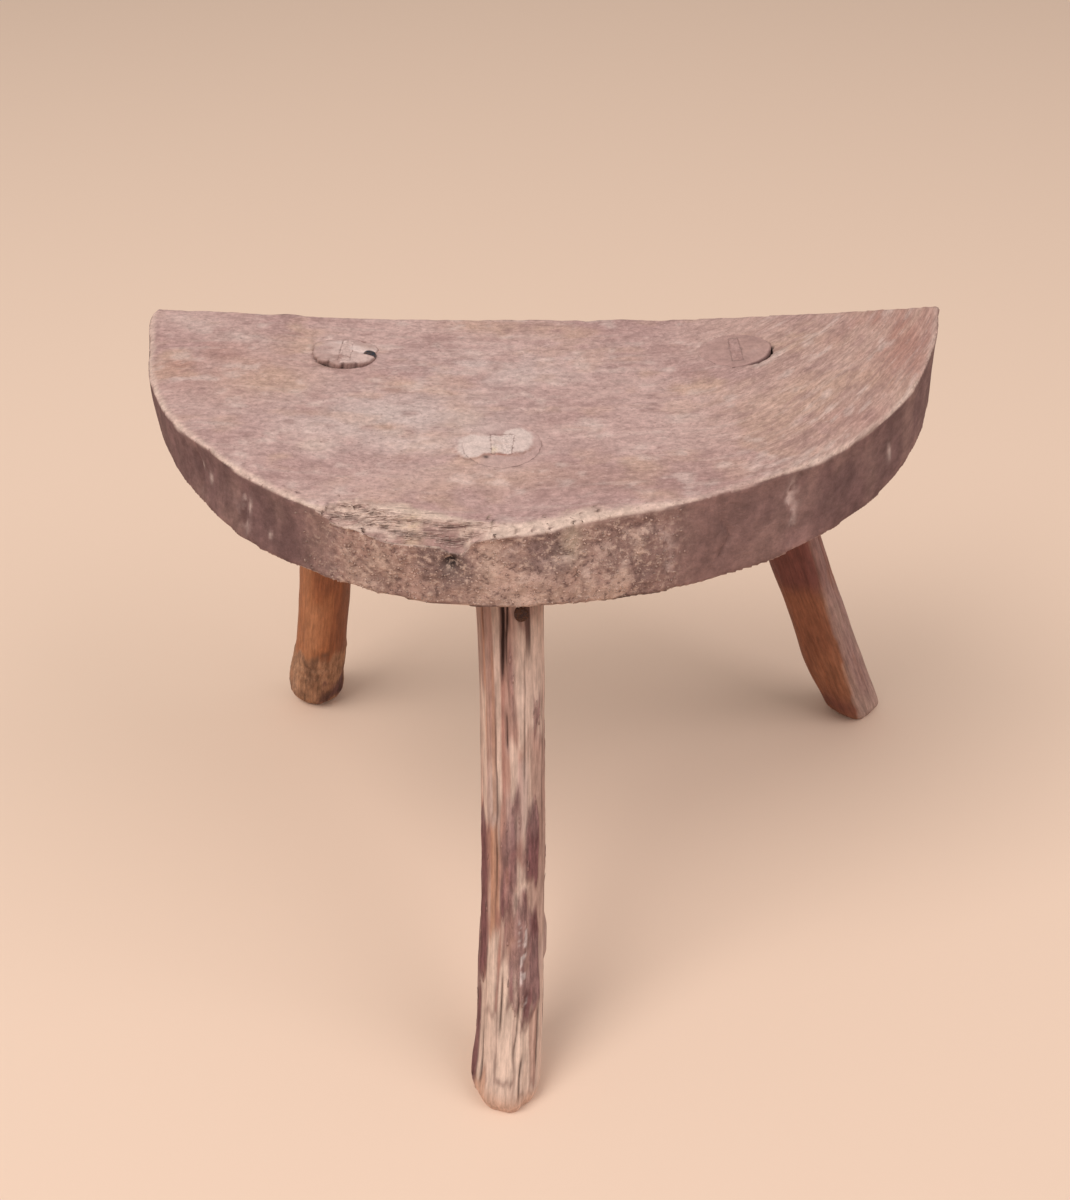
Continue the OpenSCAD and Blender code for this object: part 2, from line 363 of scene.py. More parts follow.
mauve, pink_grey, grey_white = (0.445, 0.285, 0.275), (0.53, 0.365, 0.345), (0.575, 0.46, 0.445)
tan, red_brown, dust = (0.52, 0.345, 0.285), (0.42, 0.22, 0.185), (0.64, 0.50, 0.47)
dark_wood_and_shade, mid_wall, cream = (0.17, 0.096, 0.095), (0.37, 0.235, 0.205), (0.68, 0.52, 0.45)
recess_shade, deep_mauve = (0.05, 0.035, 0.035), (0.37, 0.225, 0.215)
front_hole = tenon_axis("front")[1]


def bow_tie(places):
    """Where the front tenon's end has been rubbed pale: two lobes with a waist between them.
    Gives the pale share and the share of the dark line under its front edge."""
    x, y = ((places[:, :2] - front_hole[:2]) / mm).T
    left = np.hypot((x + 12.7) / 6.3, (y + 1.9) / 9.6)
    right = np.hypot((x - 6.3) / 6.8, (y - 3.4) / 9.4)
    waist = np.maximum(np.abs(x + 3.5) / 8, np.abs(y + 0.4) / 7)
    edge = np.min([left, right, waist], axis=0) + 0.13 * rough(places, 4.5 * mm, 95)
    return ramp(1.1, 0.92, edge), swell(edge, 1.16, 0.09) * ramp(1, -5, y)


def weathered_top(places):
    """The broad colours of the seat's top, which the worn ends of the tenons share."""
    right = places[:, 0] - back_mid[0]
    forward = back_mid[1] - places[:, 1]
    bent = with_the_grain(places)

    def patch(x, y, reach_x, reach_y):
        wide = (right - x * mm + 4 * mm * wander) / (reach_x * mm)
        deep = (forward - y * mm + 3 * mm * wander) / (reach_y * mm)
        return np.exp(-(wide**2) - deep**2)

    wander = rough(places, 16 * mm, 60)
    blotch = 0.5 + 0.7 * rough(places, 26 * mm, 61, (1.4, 1, 1))
    small_blotch = 0.5 + 0.7 * rough(bent, 12 * mm, 63, (1.4, 1, 1))
    fleck = rough(bent, 6 * mm, 65, (1.4, 1, 1))
    paint = Paint(len(places), mauve)
    paint.dab(pink_grey, blotch)
    paint.dab(tan, 0.9 * ramp(0.1, 0.7, rough(places, 19 * mm, 67, (1.4, 1, 1))))
    paint.dab(deep_mauve, 0.6 * ramp(0.2, 0.9, rough(places, 17 * mm, 68, (1.6, 1, 1))))
    paint.dab(tan, 0.7 * ramp(40 * mm, 120 * mm, right) * (0.4 + 0.6 * blotch))
    paint.dab(red_brown, 0.9 * patch(165, 30, 26, 60) * ramp(-0.1, 0.8, small_blotch))
    paint.dab(red_brown, 0.55 * patch(-158, 52, 26, 26) * small_blotch + 0.4 * patch(136, 105, 20, 14))
    paint.dab(tan, 0.8 * patch(-132, 66, 24, 18) + 0.7 * patch(-35, 7, 16, 10) + 0.8 * patch(-22, 146, 44, 9))
    paint.dab(deep_mauve, 0.65 * patch(36, 14, 26, 22) * ramp(80 * mm, 20 * mm, right + 1.1 * forward))
    dull_edge = 0.6 * patch(62, 148, 26, 12) + 0.5 * patch(102, 122, 24, 10) + 0.5 * patch(14, 150, 26, 9)
    paint.dab(deep_mauve, dull_edge)
    paint.dab(pink_grey, 0.7 * patch(-57, 145, 30, 12))
    paint.dab(grey_white, 0.85 * patch(-70, 98, 46, 26) * ramp(-0.2, 0.6, small_blotch))
    paint.dab(grey_white, 0.75 * patch(-34, 52, 40, 14) * ramp(-0.1, 0.6, small_blotch))
    paint.dab(dust, 0.8 * patch(-59, 119, 15, 7) + 0.7 * patch(-99, 123, 8, 7) + 0.5 * patch(-144, 28, 18, 6))
    paint.dab(dust, 0.5 * patch(-172, 14, 12, 6) + 0.9 * patch(17, 102, 5, 3) + 0.6 * patch(59, 98, 7, 4))
    paint.dab(tan, 0.4 * ramp(0.3, 0.9, rough(bent, 9 * mm, 66, (2.2, 1, 1))))
    paint.dab(dust, 0.5 * ramp(0.3, 0.9, fleck))
    paint.dab((0.33, 0.20, 0.19), 0.5 * ramp(0.35, 0.95, -fleck))
    pale, line = bow_tie(places)
    paint.dab((0.34, 0.20, 0.17), 0.7 * line)
    paint.dab((0.67, 0.54, 0.515), pale * (0.9 + 0.1 * fleck))
    return paint.colour


paint = Paint(len(p), weathered_top(p))
fleck = rough(bent, 6 * mm, 65, (1.4, 1, 1))
small_blotch = 0.5 + 0.6 * rough(bent, 12 * mm, 63, (1.5, 1, 1))
# The walls are painted dark: partly their own darker wood, partly painted shade, as they stand below the lit
# top.
paint.dab(dark_wood_and_shade, ramp(0.1, 0.6, wall))
paint.dab((0.30, 0.185, 0.165), 0.5 * wall * ramp(0.3, 1.0, 0.5 + 0.5 * rough(p, 14 * mm, 55, (1, 1, 1.3))))
paint.dab((0.30, 0.18, 0.165), 0.5 * wall * ramp(30 * mm, 60 * mm, right) * ramp(115 * mm, 70 * mm, right))
paint.dab((0.40, 0.24, 0.235), 0.6 * wall * on_wall_at(105, 9, 233, 8))
riven = wall * (1 - front_side)
paint.dab((0.31, 0.195, 0.175), 0.75 * riven * ramp(-0.2, 0.7, rough(p, 9 * mm, 56, (5, 1, 1))))
paint.dab((0.12, 0.07, 0.065), 0.6 * riven * ramp(0.3, 0.9, rough(p, 5 * mm, 58, (9, 1, 1))))
paint.dab(mid_wall, crumbly)
paint.dab((0.53, 0.37, 0.32), 0.7 * crumbly * on_wall_at(-20, 26, 240, 13))
paint.dab((0.23, 0.14, 0.13), 0.75 * crumbly * ramp(12 * mm, 36 * mm, right))
paint.dab((0.24, 0.15, 0.14), 0.6 * crumbly * on_wall_at(-4, 7, 257, 7))
wall_tone = rough(p, 13 * mm, 59, (1, 1, 1.4))
paint.dab((0.56, 0.40, 0.34), 0.7 * crumbly * ramp(0.15, 0.7, wall_tone))
paint.dab((0.20, 0.13, 0.125), 0.7 * crumbly * ramp(0.15, 0.7, -wall_tone))
paint.dab((0.58, 0.45, 0.36), 0.7 * crumbly * on_wall_at(8, 4, 257, 8))
# Painted shade under the seat: the underside is painted dark.
paint.dab(dark_wood_and_shade, 0.85 * under)
paint.dab(tan, 0.4 * under * small_blotch)
# The front arris is painted pale: partly rubbed wear, partly a painted highlight where the light catches the
# edge. The cream on the worn slope below is the same.
rub_and_highlight_x = np.array([-170, -100, -85, 0, 35, 175]) * mm
rub_and_highlight_width = np.interp(rim_x, rub_and_highlight_x, np.array([2.0, 2.6, 5, 6, 3.2, 1.8]) * mm)
rubbed = front_side * (1 - wall) * (1 - torn) * ramp(1.6, 0.5, inset / rub_and_highlight_width + 0.5 * fleck)
paint.dab((0.63, 0.46, 0.41), (0.85 - 0.4 * ramp(20 * mm, 60 * mm, right)) * rubbed)
paint.dab(cream, 0.8 * rubbed * ramp(-125 * mm, -90 * mm, right) * ramp(60 * mm, 10 * mm, right))
paint.dab(cream, 0.6 * worn_edge * ramp(-0.5, 0.5, fleck))
paint.dab((0.50, 0.335, 0.30), torn)
torn_tone = rough(p, 9 * mm, 57, (2, 1, 1))
paint.dab((0.36, 0.215, 0.20), 0.85 * torn * ramp(-0.1, 0.5, torn_tone))
paint.dab(cream, 0.75 * torn * ramp(0.1, 0.6, shreds - torn_tone))
paint.dab((0.66, 0.50, 0.37), 0.6 * torn * swell(right, -58 * mm, 4 * mm))
paint.dab(cream, 0.85 * torn * ramp(0.3, 0.18, down_slope))
# Painted shade at the foot of each ledge, under the lifted wood.
paint.dab((0.15, 0.085, 0.08), 0.9 * ledges * ramp(-0.8, 0, shreds))
for x, start, end in wall_checks[:3]:
    streak = split(start * mm, end * mm, p[:, 2], right + wander - x * mm, 2.0 * mm)
    paint.dab((0.56, 0.42, 0.40), 0.85 * wall * front_side * streak * ramp(-0.3, 0.3, rough(p, 3.5 * mm, 53)))
pale_chips = (
    (-149, 255, 3), (-130, 254, 4), (-136, 268, 2), (-153, 259, 2), (-120, 246, 2), (148, 250, 5),
)
for x, height, long in pale_chips:
    chip = swell(right + wander, x * mm, 0.8 * mm) * swell(p[:, 2], height * mm, 0.7 * long * mm)
    paint.dab(dust, 0.7 * wall * front_side * chip)
# Painted shade: near black in the worn pit and in the gaps that opened round the rear tenons.
paint.dab(recess_shade, 1.25 * pit + in_hole * np.clip(1.6 * gap - 0.16, 0, 0.95))
paint.lay(seat.data)
mark(seat.data, "crumbly", crumbly * ramp(1 * mm, 5 * mm, depth) * (1 - worn_edge))
mark(seat.data, "torn", torn)
mark(seat.data, "figure", figure)
mark(seat.data, "ledges", np.clip(2 * ledges, 0, 1))
mark(seat.data, "wall", wall * (0.2 + 0.8 * front_side))
lay_grain(seat.data, bent[:, 0], bent[:, 1], p[:, 2])


def put(tree, kind, settings=None, **sockets):
    """Adds a shader node. A socket's value is a number, a colour or another node's output."""
    node = tree.nodes.new("ShaderNode" + kind)
    for name, value in (settings or {}).items():
        setattr(node, name, value)
    for name, value in sockets.items():
        socket = node.inputs[int(name[1:])] if name[0] == "_" else node.inputs[name.replace("_", " ")]
        if isinstance(value, bpy.types.NodeSocket):
            tree.links.new(value, socket)
        else:
            socket.default_value = value
    return node


def blend(tree, share, first, second, how="MIX"):
    """Mixes two colours."""
    settings = {"data_type": "RGBA", "blend_type": how}
    colours = [c if isinstance(c, bpy.types.NodeSocket) else (*c, 1) for c in (first, second)]
    return put(tree, "Mix", settings, _0=share, _6=colours[0], _7=colours[1]).outputs[2]


def painted(tree):
    """The broad colouring that was laid on the vertices."""
    return put(tree, "Attribute", {"attribute_name": "paint"}).outputs["Color"]


def read(tree, name):
    """A vertex mark, as a number."""
    return put(tree, "Attribute", {"attribute_name": name}).outputs["Fac"]


def between(tree, value, start, end, low=0.0, high=1.0):
    """Maps a number from start..end to low..high, and holds it there beyond."""
    spread = {"interpolation_type": "SMOOTHSTEP"}
    node = put(tree, "MapRange", spread, Value=value, From_Min=start, From_Max=end, To_Min=low, To_Max=high)
    return node.outputs[0]


def both(tree, first, second, how="MULTIPLY"):
    """Two numbers put together, multiplied unless told otherwise."""
    return put(tree, "Math", {"operation": how}, _0=first, _1=second).outputs[0]


def shade(tree, colour, value, start, end, low, high):
    """Darkens and lightens a colour by a noise."""
    share = between(tree, value, start, end, low, high)
    tone = put(tree, "CombineColor", Red=share, Green=share, Blue=share).outputs[0]
    return blend(tree, 1.0, colour, tone, "MULTIPLY")


def grain_noise(tree, sizes, detail=3.0, roughness=0.55, shift=0.0):
    """Noise in the straight tree. Sizes are its lengths along and across the fibres, in mm."""
    place = put(tree, "Attribute", {"attribute_name": "grain"}).outputs["Vector"]
    scale = tuple(1000 / s for s in sizes)
    stretch = {"operation": "MULTIPLY_ADD"}
    place = put(tree, "VectorMath", stretch, _0=place, _1=scale, _2=(shift, shift, shift)).outputs[0]
    return put(tree, "TexNoise", Vector=place, Scale=1.0, Detail=detail, Roughness=roughness).outputs["Fac"]


def spots(tree, scale, detail, roughness=0.5):
    """Noise with no grain to it, fixed to the piece."""
    place = put(tree, "TexCoord").outputs["Object"]
    return put(tree, "TexNoise", Vector=place, Scale=scale, Detail=detail, Roughness=roughness).outputs["Fac"]


def dress(tree, skin, colour, height, strength, deep):
    """Gives the shader its colour, and a bump of this strength and depth."""
    tree.links.new(colour, skin.inputs["Base Color"])
    bump = put(tree, "Bump", Strength=strength, Distance=deep, Height=height).outputs[0]
    tree.links.new(bump, skin.inputs["Normal"])


def start_finish(name, roughness=0.85):
    """A new material: its tree and its shader."""
    finish = bpy.data.materials.new(name)
    finish.use_nodes = True
    tree = finish.node_tree
    skin = tree.nodes["Principled BSDF"]
    skin.inputs["Specular IOR Level"].default_value = 0.2
    skin.inputs["Roughness"].default_value = roughness
    return finish, tree, skin


def seat_finish():
    finish, tree, skin = start_finish("weathered_plank")
    crumbs, torn_wood, side = read(tree, "crumbly"), read(tree, "torn"), read(tree, "wall")
    colour = painted(tree)
    figured = read(tree, "figure")
    fibres = grain_noise(tree, (14, 0.8, 0.8), 4)
    mottle = grain_noise(tree, (5.5, 4, 4), 7, 0.78, shift=4)
    streak = grain_noise(tree, (42, 4, 4), 3, shift=7)
    specks = grain_noise(tree, (1.8, 1.2, 1.2), 2, shift=3)
    upright = grain_noise(tree, (9, 9, 18), 5, 0.7, shift=5)
    grit = grain_noise(tree, (2.8, 2.8, 2.4), 5, 0.65, shift=9)
    flesh = shade(tree, colour, mottle, 0.32, 0.68, 0.82, 1.16)
    figured_flesh = shade(tree, flesh, fibres, 0.3, 0.7, 0.9, 1.07)
    dark_line = between(tree, streak, 0.5, 0.68, 0, 0.6)
    figured_flesh = blend(tree, dark_line, figured_flesh, (0.34, 0.21, 0.19))
    flesh = blend(tree, figured, flesh, figured_flesh)
    flesh = blend(tree, between(tree, streak, 0.45, 0.3, 0, 0.3), flesh, (0.58, 0.44, 0.41))
    flesh = blend(tree, between(tree, specks, 0.6, 0.72, 0, 0.45), flesh, (0.22, 0.13, 0.12))
    grains = grain_noise(tree, (2.4, 1.9, 1.9), 3, 0.7, shift=13)
    flesh = shade(tree, flesh, grains, 0.34, 0.66, 0.88, 1.12)
    flesh = blend(tree, between(tree, grains, 0.62, 0.74, 0, 0.5), flesh, (0.66, 0.52, 0.49))
    sides = shade(tree, colour, upright, 0.3, 0.7, 0.8, 1.22)
    sides = shade(tree, sides, mottle, 0.3, 0.7, 0.8, 1.2)
    colour = blend(tree, side, flesh, sides)
    dry = blend(tree, between(tree, grit, 0.5, 0.66, 0, 0.85), colour, (0.66, 0.48, 0.41))
    dry = blend(tree, between(tree, grit, 0.46, 0.34, 0, 0.8), dry, (0.12, 0.07, 0.065))
    colour = blend(tree, both(tree, crumbs, 0.9), colour, dry)
    lines = grain_noise(tree, (16, 1.5, 1.5), 4, shift=2)
    shredded = blend(tree, between(tree, lines, 0.46, 0.34, 0, 0.7), colour, (0.22, 0.13, 0.12))
    colour = blend(tree, torn_wood, colour, shredded)
    tree.links.new(between(tree, mottle, 0.3, 0.7, 0.95, 0.72), skin.inputs["Roughness"])
    height = both(tree, both(tree, fibres, both(tree, figured, 0.25)), both(tree, mottle, 0.9), "ADD")
    height = both(tree, height, both(tree, both(tree, grit, crumbs), 1.6), "ADD")
    height = both(tree, height, both(tree, both(tree, lines, torn_wood), 1.0), "ADD")
    dress(tree, skin, colour, height, 0.85, 0.8 * mm)
    return finish


def finish_piece(piece, finish, node):
    """Smooths the piece, gives it its finish, and hangs it on the frame."""
    piece.data.materials.clear()
    piece.data.materials.append(finish)
    piece.data.shade_smooth()
    if node:
        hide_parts(node)
    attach(piece, "root")


plank_finish = seat_finish()
finish_piece(seat, plank_finish, "seat")

# ---------------------------------------------------------------------------------------
# The front leg: a peeled stick, whittled at the top to a round tenon that fills its hole in
# the seat. It has dried and split, and ragged strips of its purple bark still cling to it.
# ---------------------------------------------------------------------------------------

feet = {mount["name"]: np.array(mount["pos_m"]) for mount in frame["record"]["mounts"]}


def tube_faces(rings, sides, poles=True):
    """The faces between rings with this many sides, and the fans that close both ends."""
    faces = []
    for ring in range(rings - 1):
        for k in range(sides):
            a, b = ring * sides + k, ring * sides + (k + 1) % sides
            faces.append((a, b, b + sides, a + sides))
    if poles:
        last, first_pole = (rings - 1) * sides, rings * sides
        faces += [(first_pole, (k + 1) % sides, k) for k in range(sides)]
        faces += [(first_pole + 1, last + k, last + (k + 1) % sides) for k in range(sides)]
    return faces


class Stick:
    """A leaning stick built of level rings, closed by flat discs at the foot and the tenon's
    end. Every vertex has a height, an angle in plan and a share of the way out to the bark."""

    def __init__(self, side, levels, sides):
        self.tip, self.top = tenon_axis(side)
        self.foot = feet["foot_" + side]
        lean = self.top - self.foot
        self.bearing = math.atan2(-lean[1], -lean[0])
        self.stretch = math.hypot(math.hypot(lean[0], lean[1]), lean[2]) / lean[2]
        self.end = self.top[2]
        discs = 14
        shares = [k / discs for k in range(1, discs)]
        rings = [(0.0, s) for s in shares]
        rings += [(self.end * k / levels, 1.0) for k in range(levels + 1)]
        rings += [(self.end, s) for s in reversed(shares)]
        turn = np.arange(sides) * 2 * math.pi / sides
        self.z = np.concatenate([np.repeat([r[0] for r in rings], sides), [0.0, self.end]])
        self.share = np.concatenate([np.repeat([r[1] for r in rings], sides), [0.0, 0.0]])
        self.angle = np.concatenate([np.tile(turn, len(rings)), [0.0, 0.0]])
        self.degrees = (np.degrees(self.angle) + 180) % 360 - 180
        self.faces = tube_faces(len(rings), sides)
        underside = np.polyval(under_line, self.top[0])
        self.in_seat = ramp(underside - 5 * mm, underside + 2 * mm, self.z)
        self.on_end = ramp(self.end - 1 * mm, self.end, self.z)

    def straight(self, radius):
        """Each vertex's place in the straight branch, with its fibres along X."""
        r = radius * self.share
        return np.column_stack([self.z * self.stretch, r * np.cos(self.angle), r * np.sin(self.angle)])

    def hewn(self, faces, flat):
        """How far a knife or an axe took the bark side in, for flats that face these ways."""
        turns = [np.cos(np.radians(self.degrees - face)) for face in faces]
        return np.minimum(1, flat / np.maximum(np.max(turns, axis=0), 0.5))

    def tenon(self, radius):
        """A tenon widens upwards, because its wedge spreads it in the hole."""
        return radius - 0.07 * (self.end - self.z) * self.stretch

    def strip(self, places, middle, half, low, high, seed, fray=0.7):
        """A strip of bark or bare wood with ends torn along the grain. Degrees and mm."""
        turn = np.abs((self.degrees - middle + 180) % 360 - 180)
        along = np.minimum(self.z - low * mm, high * mm - self.z) / (14 * mm)
        edge = fray * rough(places, 5 * mm, seed, (9, 1, 1))
        return ramp(-0.1, 0.4, np.minimum(1 - turn / half, along) + edge)

    def crack(self, places, middle, low, high, width, lean=0.0):
        """A drying split along the stick. Its middle may drift by `lean` degrees."""
        drift = lean * (self.z / mm - low) / (high - low) + 3 * lumps(places, 11 * mm, int(high) + 3)
        turn = (self.degrees - middle - drift + 180) % 360 - 180
        return split(low * mm, high * mm, self.z, turn, width)

    def beside_hole(self, reach):
        """The height of the seat's top all round the hole, and in towards the middle."""
        turns = np.radians(np.arange(-180, 180, 6))
        spots = self.top[:2] + reach * np.column_stack([np.cos(turns), np.sin(turns)])
        felt = [seat_skin.ray_cast(Vector((x, y, 1)), Vector((0, 0, -1)))[0].z for x, y in spots]
        felt = (np.roll(felt, 1) + np.array(felt) + np.roll(felt, -1)) / 3
        rim = np.interp(self.angle, turns, felt, period=2 * math.pi)
        return felt.mean() + (rim - felt.mean()) * self.share**2

    def build(self, name, radius, heights, bow_x, bow_y, proud):
        """Stands the rings up along the leaning axis, bowed aside at these heights. The
        tenon's end follows the seat round its hole, and stands this much proud of it."""
        share = self.z / self.top[2]
        x = self.foot[0] + (self.top[0] - self.foot[0]) * share
        y = self.foot[1] + (self.top[1] - self.foot[1]) * share
        x = x + np.interp(self.z / mm, heights, bow_x) * mm
        y = y + np.interp(self.z / mm, heights, bow_y) * mm
        r = radius * self.share
        along = r * np.cos(self.angle - self.bearing) * self.stretch
        aside = r * np.sin(self.angle - self.bearing)
        off_x = along * math.cos(self.bearing) - aside * math.sin(self.bearing)
        off_y = along * math.sin(self.bearing) + aside * math.cos(self.bearing)
        places = np.column_stack([x + off_x, y + off_y, self.z])
        end_grain = 0.3 * mm * rough(places, 3.5 * mm, 91) * (1 - self.share**2)
        rise = self.beside_hole(20 * mm) + proud - self.end
        places[:, 2] += ramp(self.end - 12 * mm, self.end, self.z) * rise + self.on_end * end_grain
        leg = add_mesh_object(name, places.tolist(), self.faces)
        lay_grain(leg.data, *self.straight(radius).T)
        mark(leg.data, "end_grain", self.on_end)
        return leg


def foot_wear(stick, wear, height):
    return wear * np.clip(1 - stick.z / height, 0, 1) ** 2


stick = Stick("front", 290, 200)
a = stick.degrees
z = stick.z / mm
radius = (15.4 - 1.0 * np.sin(np.pi * np.clip(z / 228, 0, 1))) * mm
flats = stick.hewn((-158, -104, -52, 5, 62, 118), 0.955)
places = stick.straight(radius)
streaks = rough(places, 5 * mm, 73, (12, 1, 1))
patches = rough(places, 12 * mm, 74, (3, 1, 1))
# Strips of bark: the middle and half width in degrees, then the bottom and top in mm.
bark_strips = (
    (-92, 14, 92, 142), (-56, 26, 94, 128), (-84, 20, 74, 98), (-80, 26, 44, 82), (-44, 16, 44, 84),
    (-63, 12, 36, 66), (-155, 20, 55, 122), (-90, 10, 156, 192), (-42, 8, 156, 174), (40, 38, 20, 120),
    (115, 34, 90, 190), (165, 22, 15, 70), (75, 26, 150, 215), (10, 16, 95, 150),
)
bark = np.zeros(len(z))
for number, (middle, half, low, high) in enumerate(bark_strips):
    bark = np.maximum(bark, stick.strip(places, middle, half, low, high, 200 + 5 * number))
# Drying splits: middle in degrees, bottom, top, half width in degrees, drift and depth in mm.
splits = (
    (-106, 178, 228, 2.4, 8, 2.6), (-96, 184, 226, 1.4, 4, 1.6), (-140, 190, 226, 1.8, 0, 0.8),
    (-99, 152, 172, 1.6, 0, 1.0), (-122, 60, 190, 1.8, 4, 0.7), (-112, 30, 66, 1.8, 3, 0.9),
    (-145, 6, 46, 2.2, -4, 1.1), (-38, 14, 48, 2.0, 3, 0.9), (-73, 4, 30, 1.8, 4, 0.9),
    (-84, 20, 62, 1.6, 8, 0.7), (-70, 126, 200, 1.4, 5, 0.5), (-30, 90, 190, 1.8, 4, 0.6),
    (30, 60, 200, 2.6, 8, 1.4), (95, 20, 140, 2.8, -8, 1.6), (150, 80, 224, 2.6, 6, 1.3),
)
opened = np.zeros(len(z))
for middle, low, high, width, lean, deep in splits:
    crack = stick.crack(places, middle, low, high, width, lean)
    opened = np.maximum(opened, crack * deep)
relief = 0.4 * rough(places, 16 * mm, 71, (4, 1, 1)) + 0.22 * rough(places, 3.2 * mm, 75, (9, 1, 1), 2)
relief += bark * (0.45 + 0.25 * rough(places, 4 * mm, 77, (3, 1, 1))) - opened
relief += 1.8 * swell(z, 9, 9) * swell((a + 360) % 360 - 180, 0, 55)
sliver = stick.strip(places, -5, 4, 58, 78, 290, 0.2)
relief += 1.5 * sliver
below_seat = radius * flats + relief * mm - foot_wear(stick, 4 * mm, 9 * mm)
tenon = stick.tenon(16 * mm) + 1.5 * mm * stick.on_end
radius = below_seat * (1 - stick.in_seat) + tenon * stick.in_seat
heights = (0, 20, 50, 80, 110, 170, 208, 224, 240)
bow = (0, 1.3, 2.6, 3.5, 3.9, 3.7, 3.0, 1.4, 0)
flush = (0.12 - 0.7 * stick.share**20) * mm
leg = stick.build("front_leg", radius, heights, bow, np.zeros(9), flush)

bare, peeled, bark_purple = (0.44, 0.285, 0.24), (0.70, 0.52, 0.44), (0.185, 0.078, 0.082)
orange, red_stripe, bark_grey = (0.50, 0.245, 0.155), (0.37, 0.175, 0.14), (0.35, 0.225, 0.215)
split_shade, silver = (0.07, 0.035, 0.03), (0.60, 0.49, 0.48)
paint = Paint(len(z), bare)
paint.dab(peeled, 0.55 * ramp(0.0, 0.8, streaks + 0.3 * patches))
paint.dab(red_stripe, 0.5 * ramp(0.1, 0.8, -streaks + 0.3 * patches))
paint.dab((0.54, 0.40, 0.37), 0.5 * ramp(0.1, 0.7, patches))
fine = rough(places, 2.6 * mm, 76, (14, 1, 1))
paint.dab((0.20, 0.10, 0.09), 0.55 * ramp(0.45, 1.0, fine))
paint.dab(peeled, 0.75 * ramp(74, 46, z + 6 * patches))
paint.dab(red_stripe, 0.5 * swell(a, -124, 14) * ramp(140, 165, z))
# Strips of bare wood: colour, share, then as for the bark.
leg_strips = (
    (red_stripe, 0.85, -150, 24, 56, 122), (orange, 0.72, -126, 8, 64, 126),
    (orange, 0.45, -123, 4, 124, 200), (red_stripe, 0.8, -118, 7, 46, 92), (orange, 0.5, -143, 6, 150, 220),
    (red_stripe, 0.6, -108, 8, 100, 200), (peeled, 0.8, -152, 16, 120, 178), (peeled, 0.7, -114, 6, 130, 215),
    (peeled, 0.75, -52, 28, 156, 205), (peeled, 0.7, -87, 6, 128, 154), (peeled, 0.6, -57, 10, 116, 136),
    (peeled, 0.95, -73, 14, 90, 111), (peeled, 0.9, -132, 14, 40, 76), (peeled, 1.0, -96, 18, 18, 64),
    (peeled, 0.85, -60, 18, 8, 42), (orange, 0.6, -155, 24, -6, 14), (peeled, 0.6, 60, 30, 120, 200),
    (orange, 0.4, 130, 25, 20, 120), (red_stripe, 0.5, -45, 9, 4, 40), (red_stripe, 0.6, -168, 8, 4, 50),
)
for number, (colour, share, middle, half, low, high) in enumerate(leg_strips):
    laid = stick.strip(places, middle, half, low, high, 300 + 5 * number, 0.5)
    paint.dab((0.18, 0.09, 0.08), 0.9 * share * 4 * laid * (1 - laid) * ramp(70, 55, z))
    paint.dab(colour, share * laid)
paint.dab(bark_purple, 0.95 * bark * ramp(-1.2, -0.2, streaks))
outline = 4 * bark * (1 - bark)
paint.dab((0.14, 0.065, 0.06), 0.5 * outline * ramp(-0.5, 0.3, streaks))
paint.dab(bark_grey, 0.4 * bark * ramp(-0.1, 0.6, rough(places, 7 * mm, 79, (3, 1, 1))))
silver_edge = stick.strip(places, -73, 9, 75, 86, 390, 1.2) + stick.strip(places, -72, 5, 58, 74, 395, 1.2)
paint.dab(silver, 0.95 * silver_edge * ramp(0, 0.4, rough(places, 3 * mm, 81)))
# Painted shade inside the drying splits.
paint.dab(split_shade, np.clip(1.1 * opened, 0, 0.92))
paint.dab((0.60, 0.37, 0.28), 0.8 * ramp(12, 3, z + 4 * patches))
nail_streak = stick.strip(places, -60, 6, 178, 232, 400, 0.35)
paint.dab((0.13, 0.065, 0.055), 0.95 * ramp(186, 200, z) * nail_streak)

# The tenon's end lies flush in the seat. Handling has left it pale at both sides of the wedge,
# and dirt has filled its front and back.
tip, top_mid = tenon_axis("front")
places_now = points_of(leg.data)
end_x = (places_now[:, 0] - top_mid[0]) / mm
end_y = (places_now[:, 1] - top_mid[1]) / mm
paint.dab(weathered_top(places_now), stick.on_end)
# Painted shade: a small hole near the front of the tenon's end is painted near black.
paint.dab(recess_shade, 0.95 * stick.on_end * swell(np.hypot(end_x + 6.5, end_y + 10.2), 0, 1.3))
paint.dab((0.40, 0.16, 0.12), 0.8 * stick.on_end * swell(end_y, -8.3, 0.8) * swell(end_x, -1, 4.5))
paint.lay(leg.data)
mark(leg.data, "bark", bark * (1 - stick.in_seat))


def stick_finish(name, gloss):
    """Stick wood: fine fibres along the grain, duller and rougher where bark is left."""
    finish, tree, skin = start_finish(name)
    bark_left, end_wood = read(tree, "bark"), read(tree, "end_grain")
    colour = painted(tree)
    fibres = grain_noise(tree, (30, 1.1, 1.1), 5, 0.6)
    flecks = grain_noise(tree, (11, 2.6, 2.6), 5, 0.7, shift=4)
    scales = grain_noise(tree, (8, 2.4, 2.4), 5, 0.7, shift=6)
    wood = shade(tree, colour, fibres, 0.3, 0.7, 0.84, 1.14)
    wood = shade(tree, wood, flecks, 0.3, 0.7, 0.8, 1.18)
    crust = shade(tree, wood, scales, 0.32, 0.68, 0.72, 1.28)
    colour = blend(tree, bark_left, wood, crust)
    worn = shade(tree, painted(tree), spots(tree, 230.0, 7.0, 0.78), 0.32, 0.68, 0.82, 1.16)
    colour = blend(tree, end_wood, colour, worn)
    tree.links.new(between(tree, bark_left, 0, 1, gloss, 0.9), skin.inputs["Roughness"])
    height = both(tree, fibres, both(tree, both(tree, scales, bark_left), 1.5), "ADD")
    dress(tree, skin, colour, height, 0.85, 0.6 * mm)
    return finish


peeled_finish = stick_finish("peeled_stick", 0.72)


end_skins = {}
slot_dirt = (0.42, 0.28, 0.26)


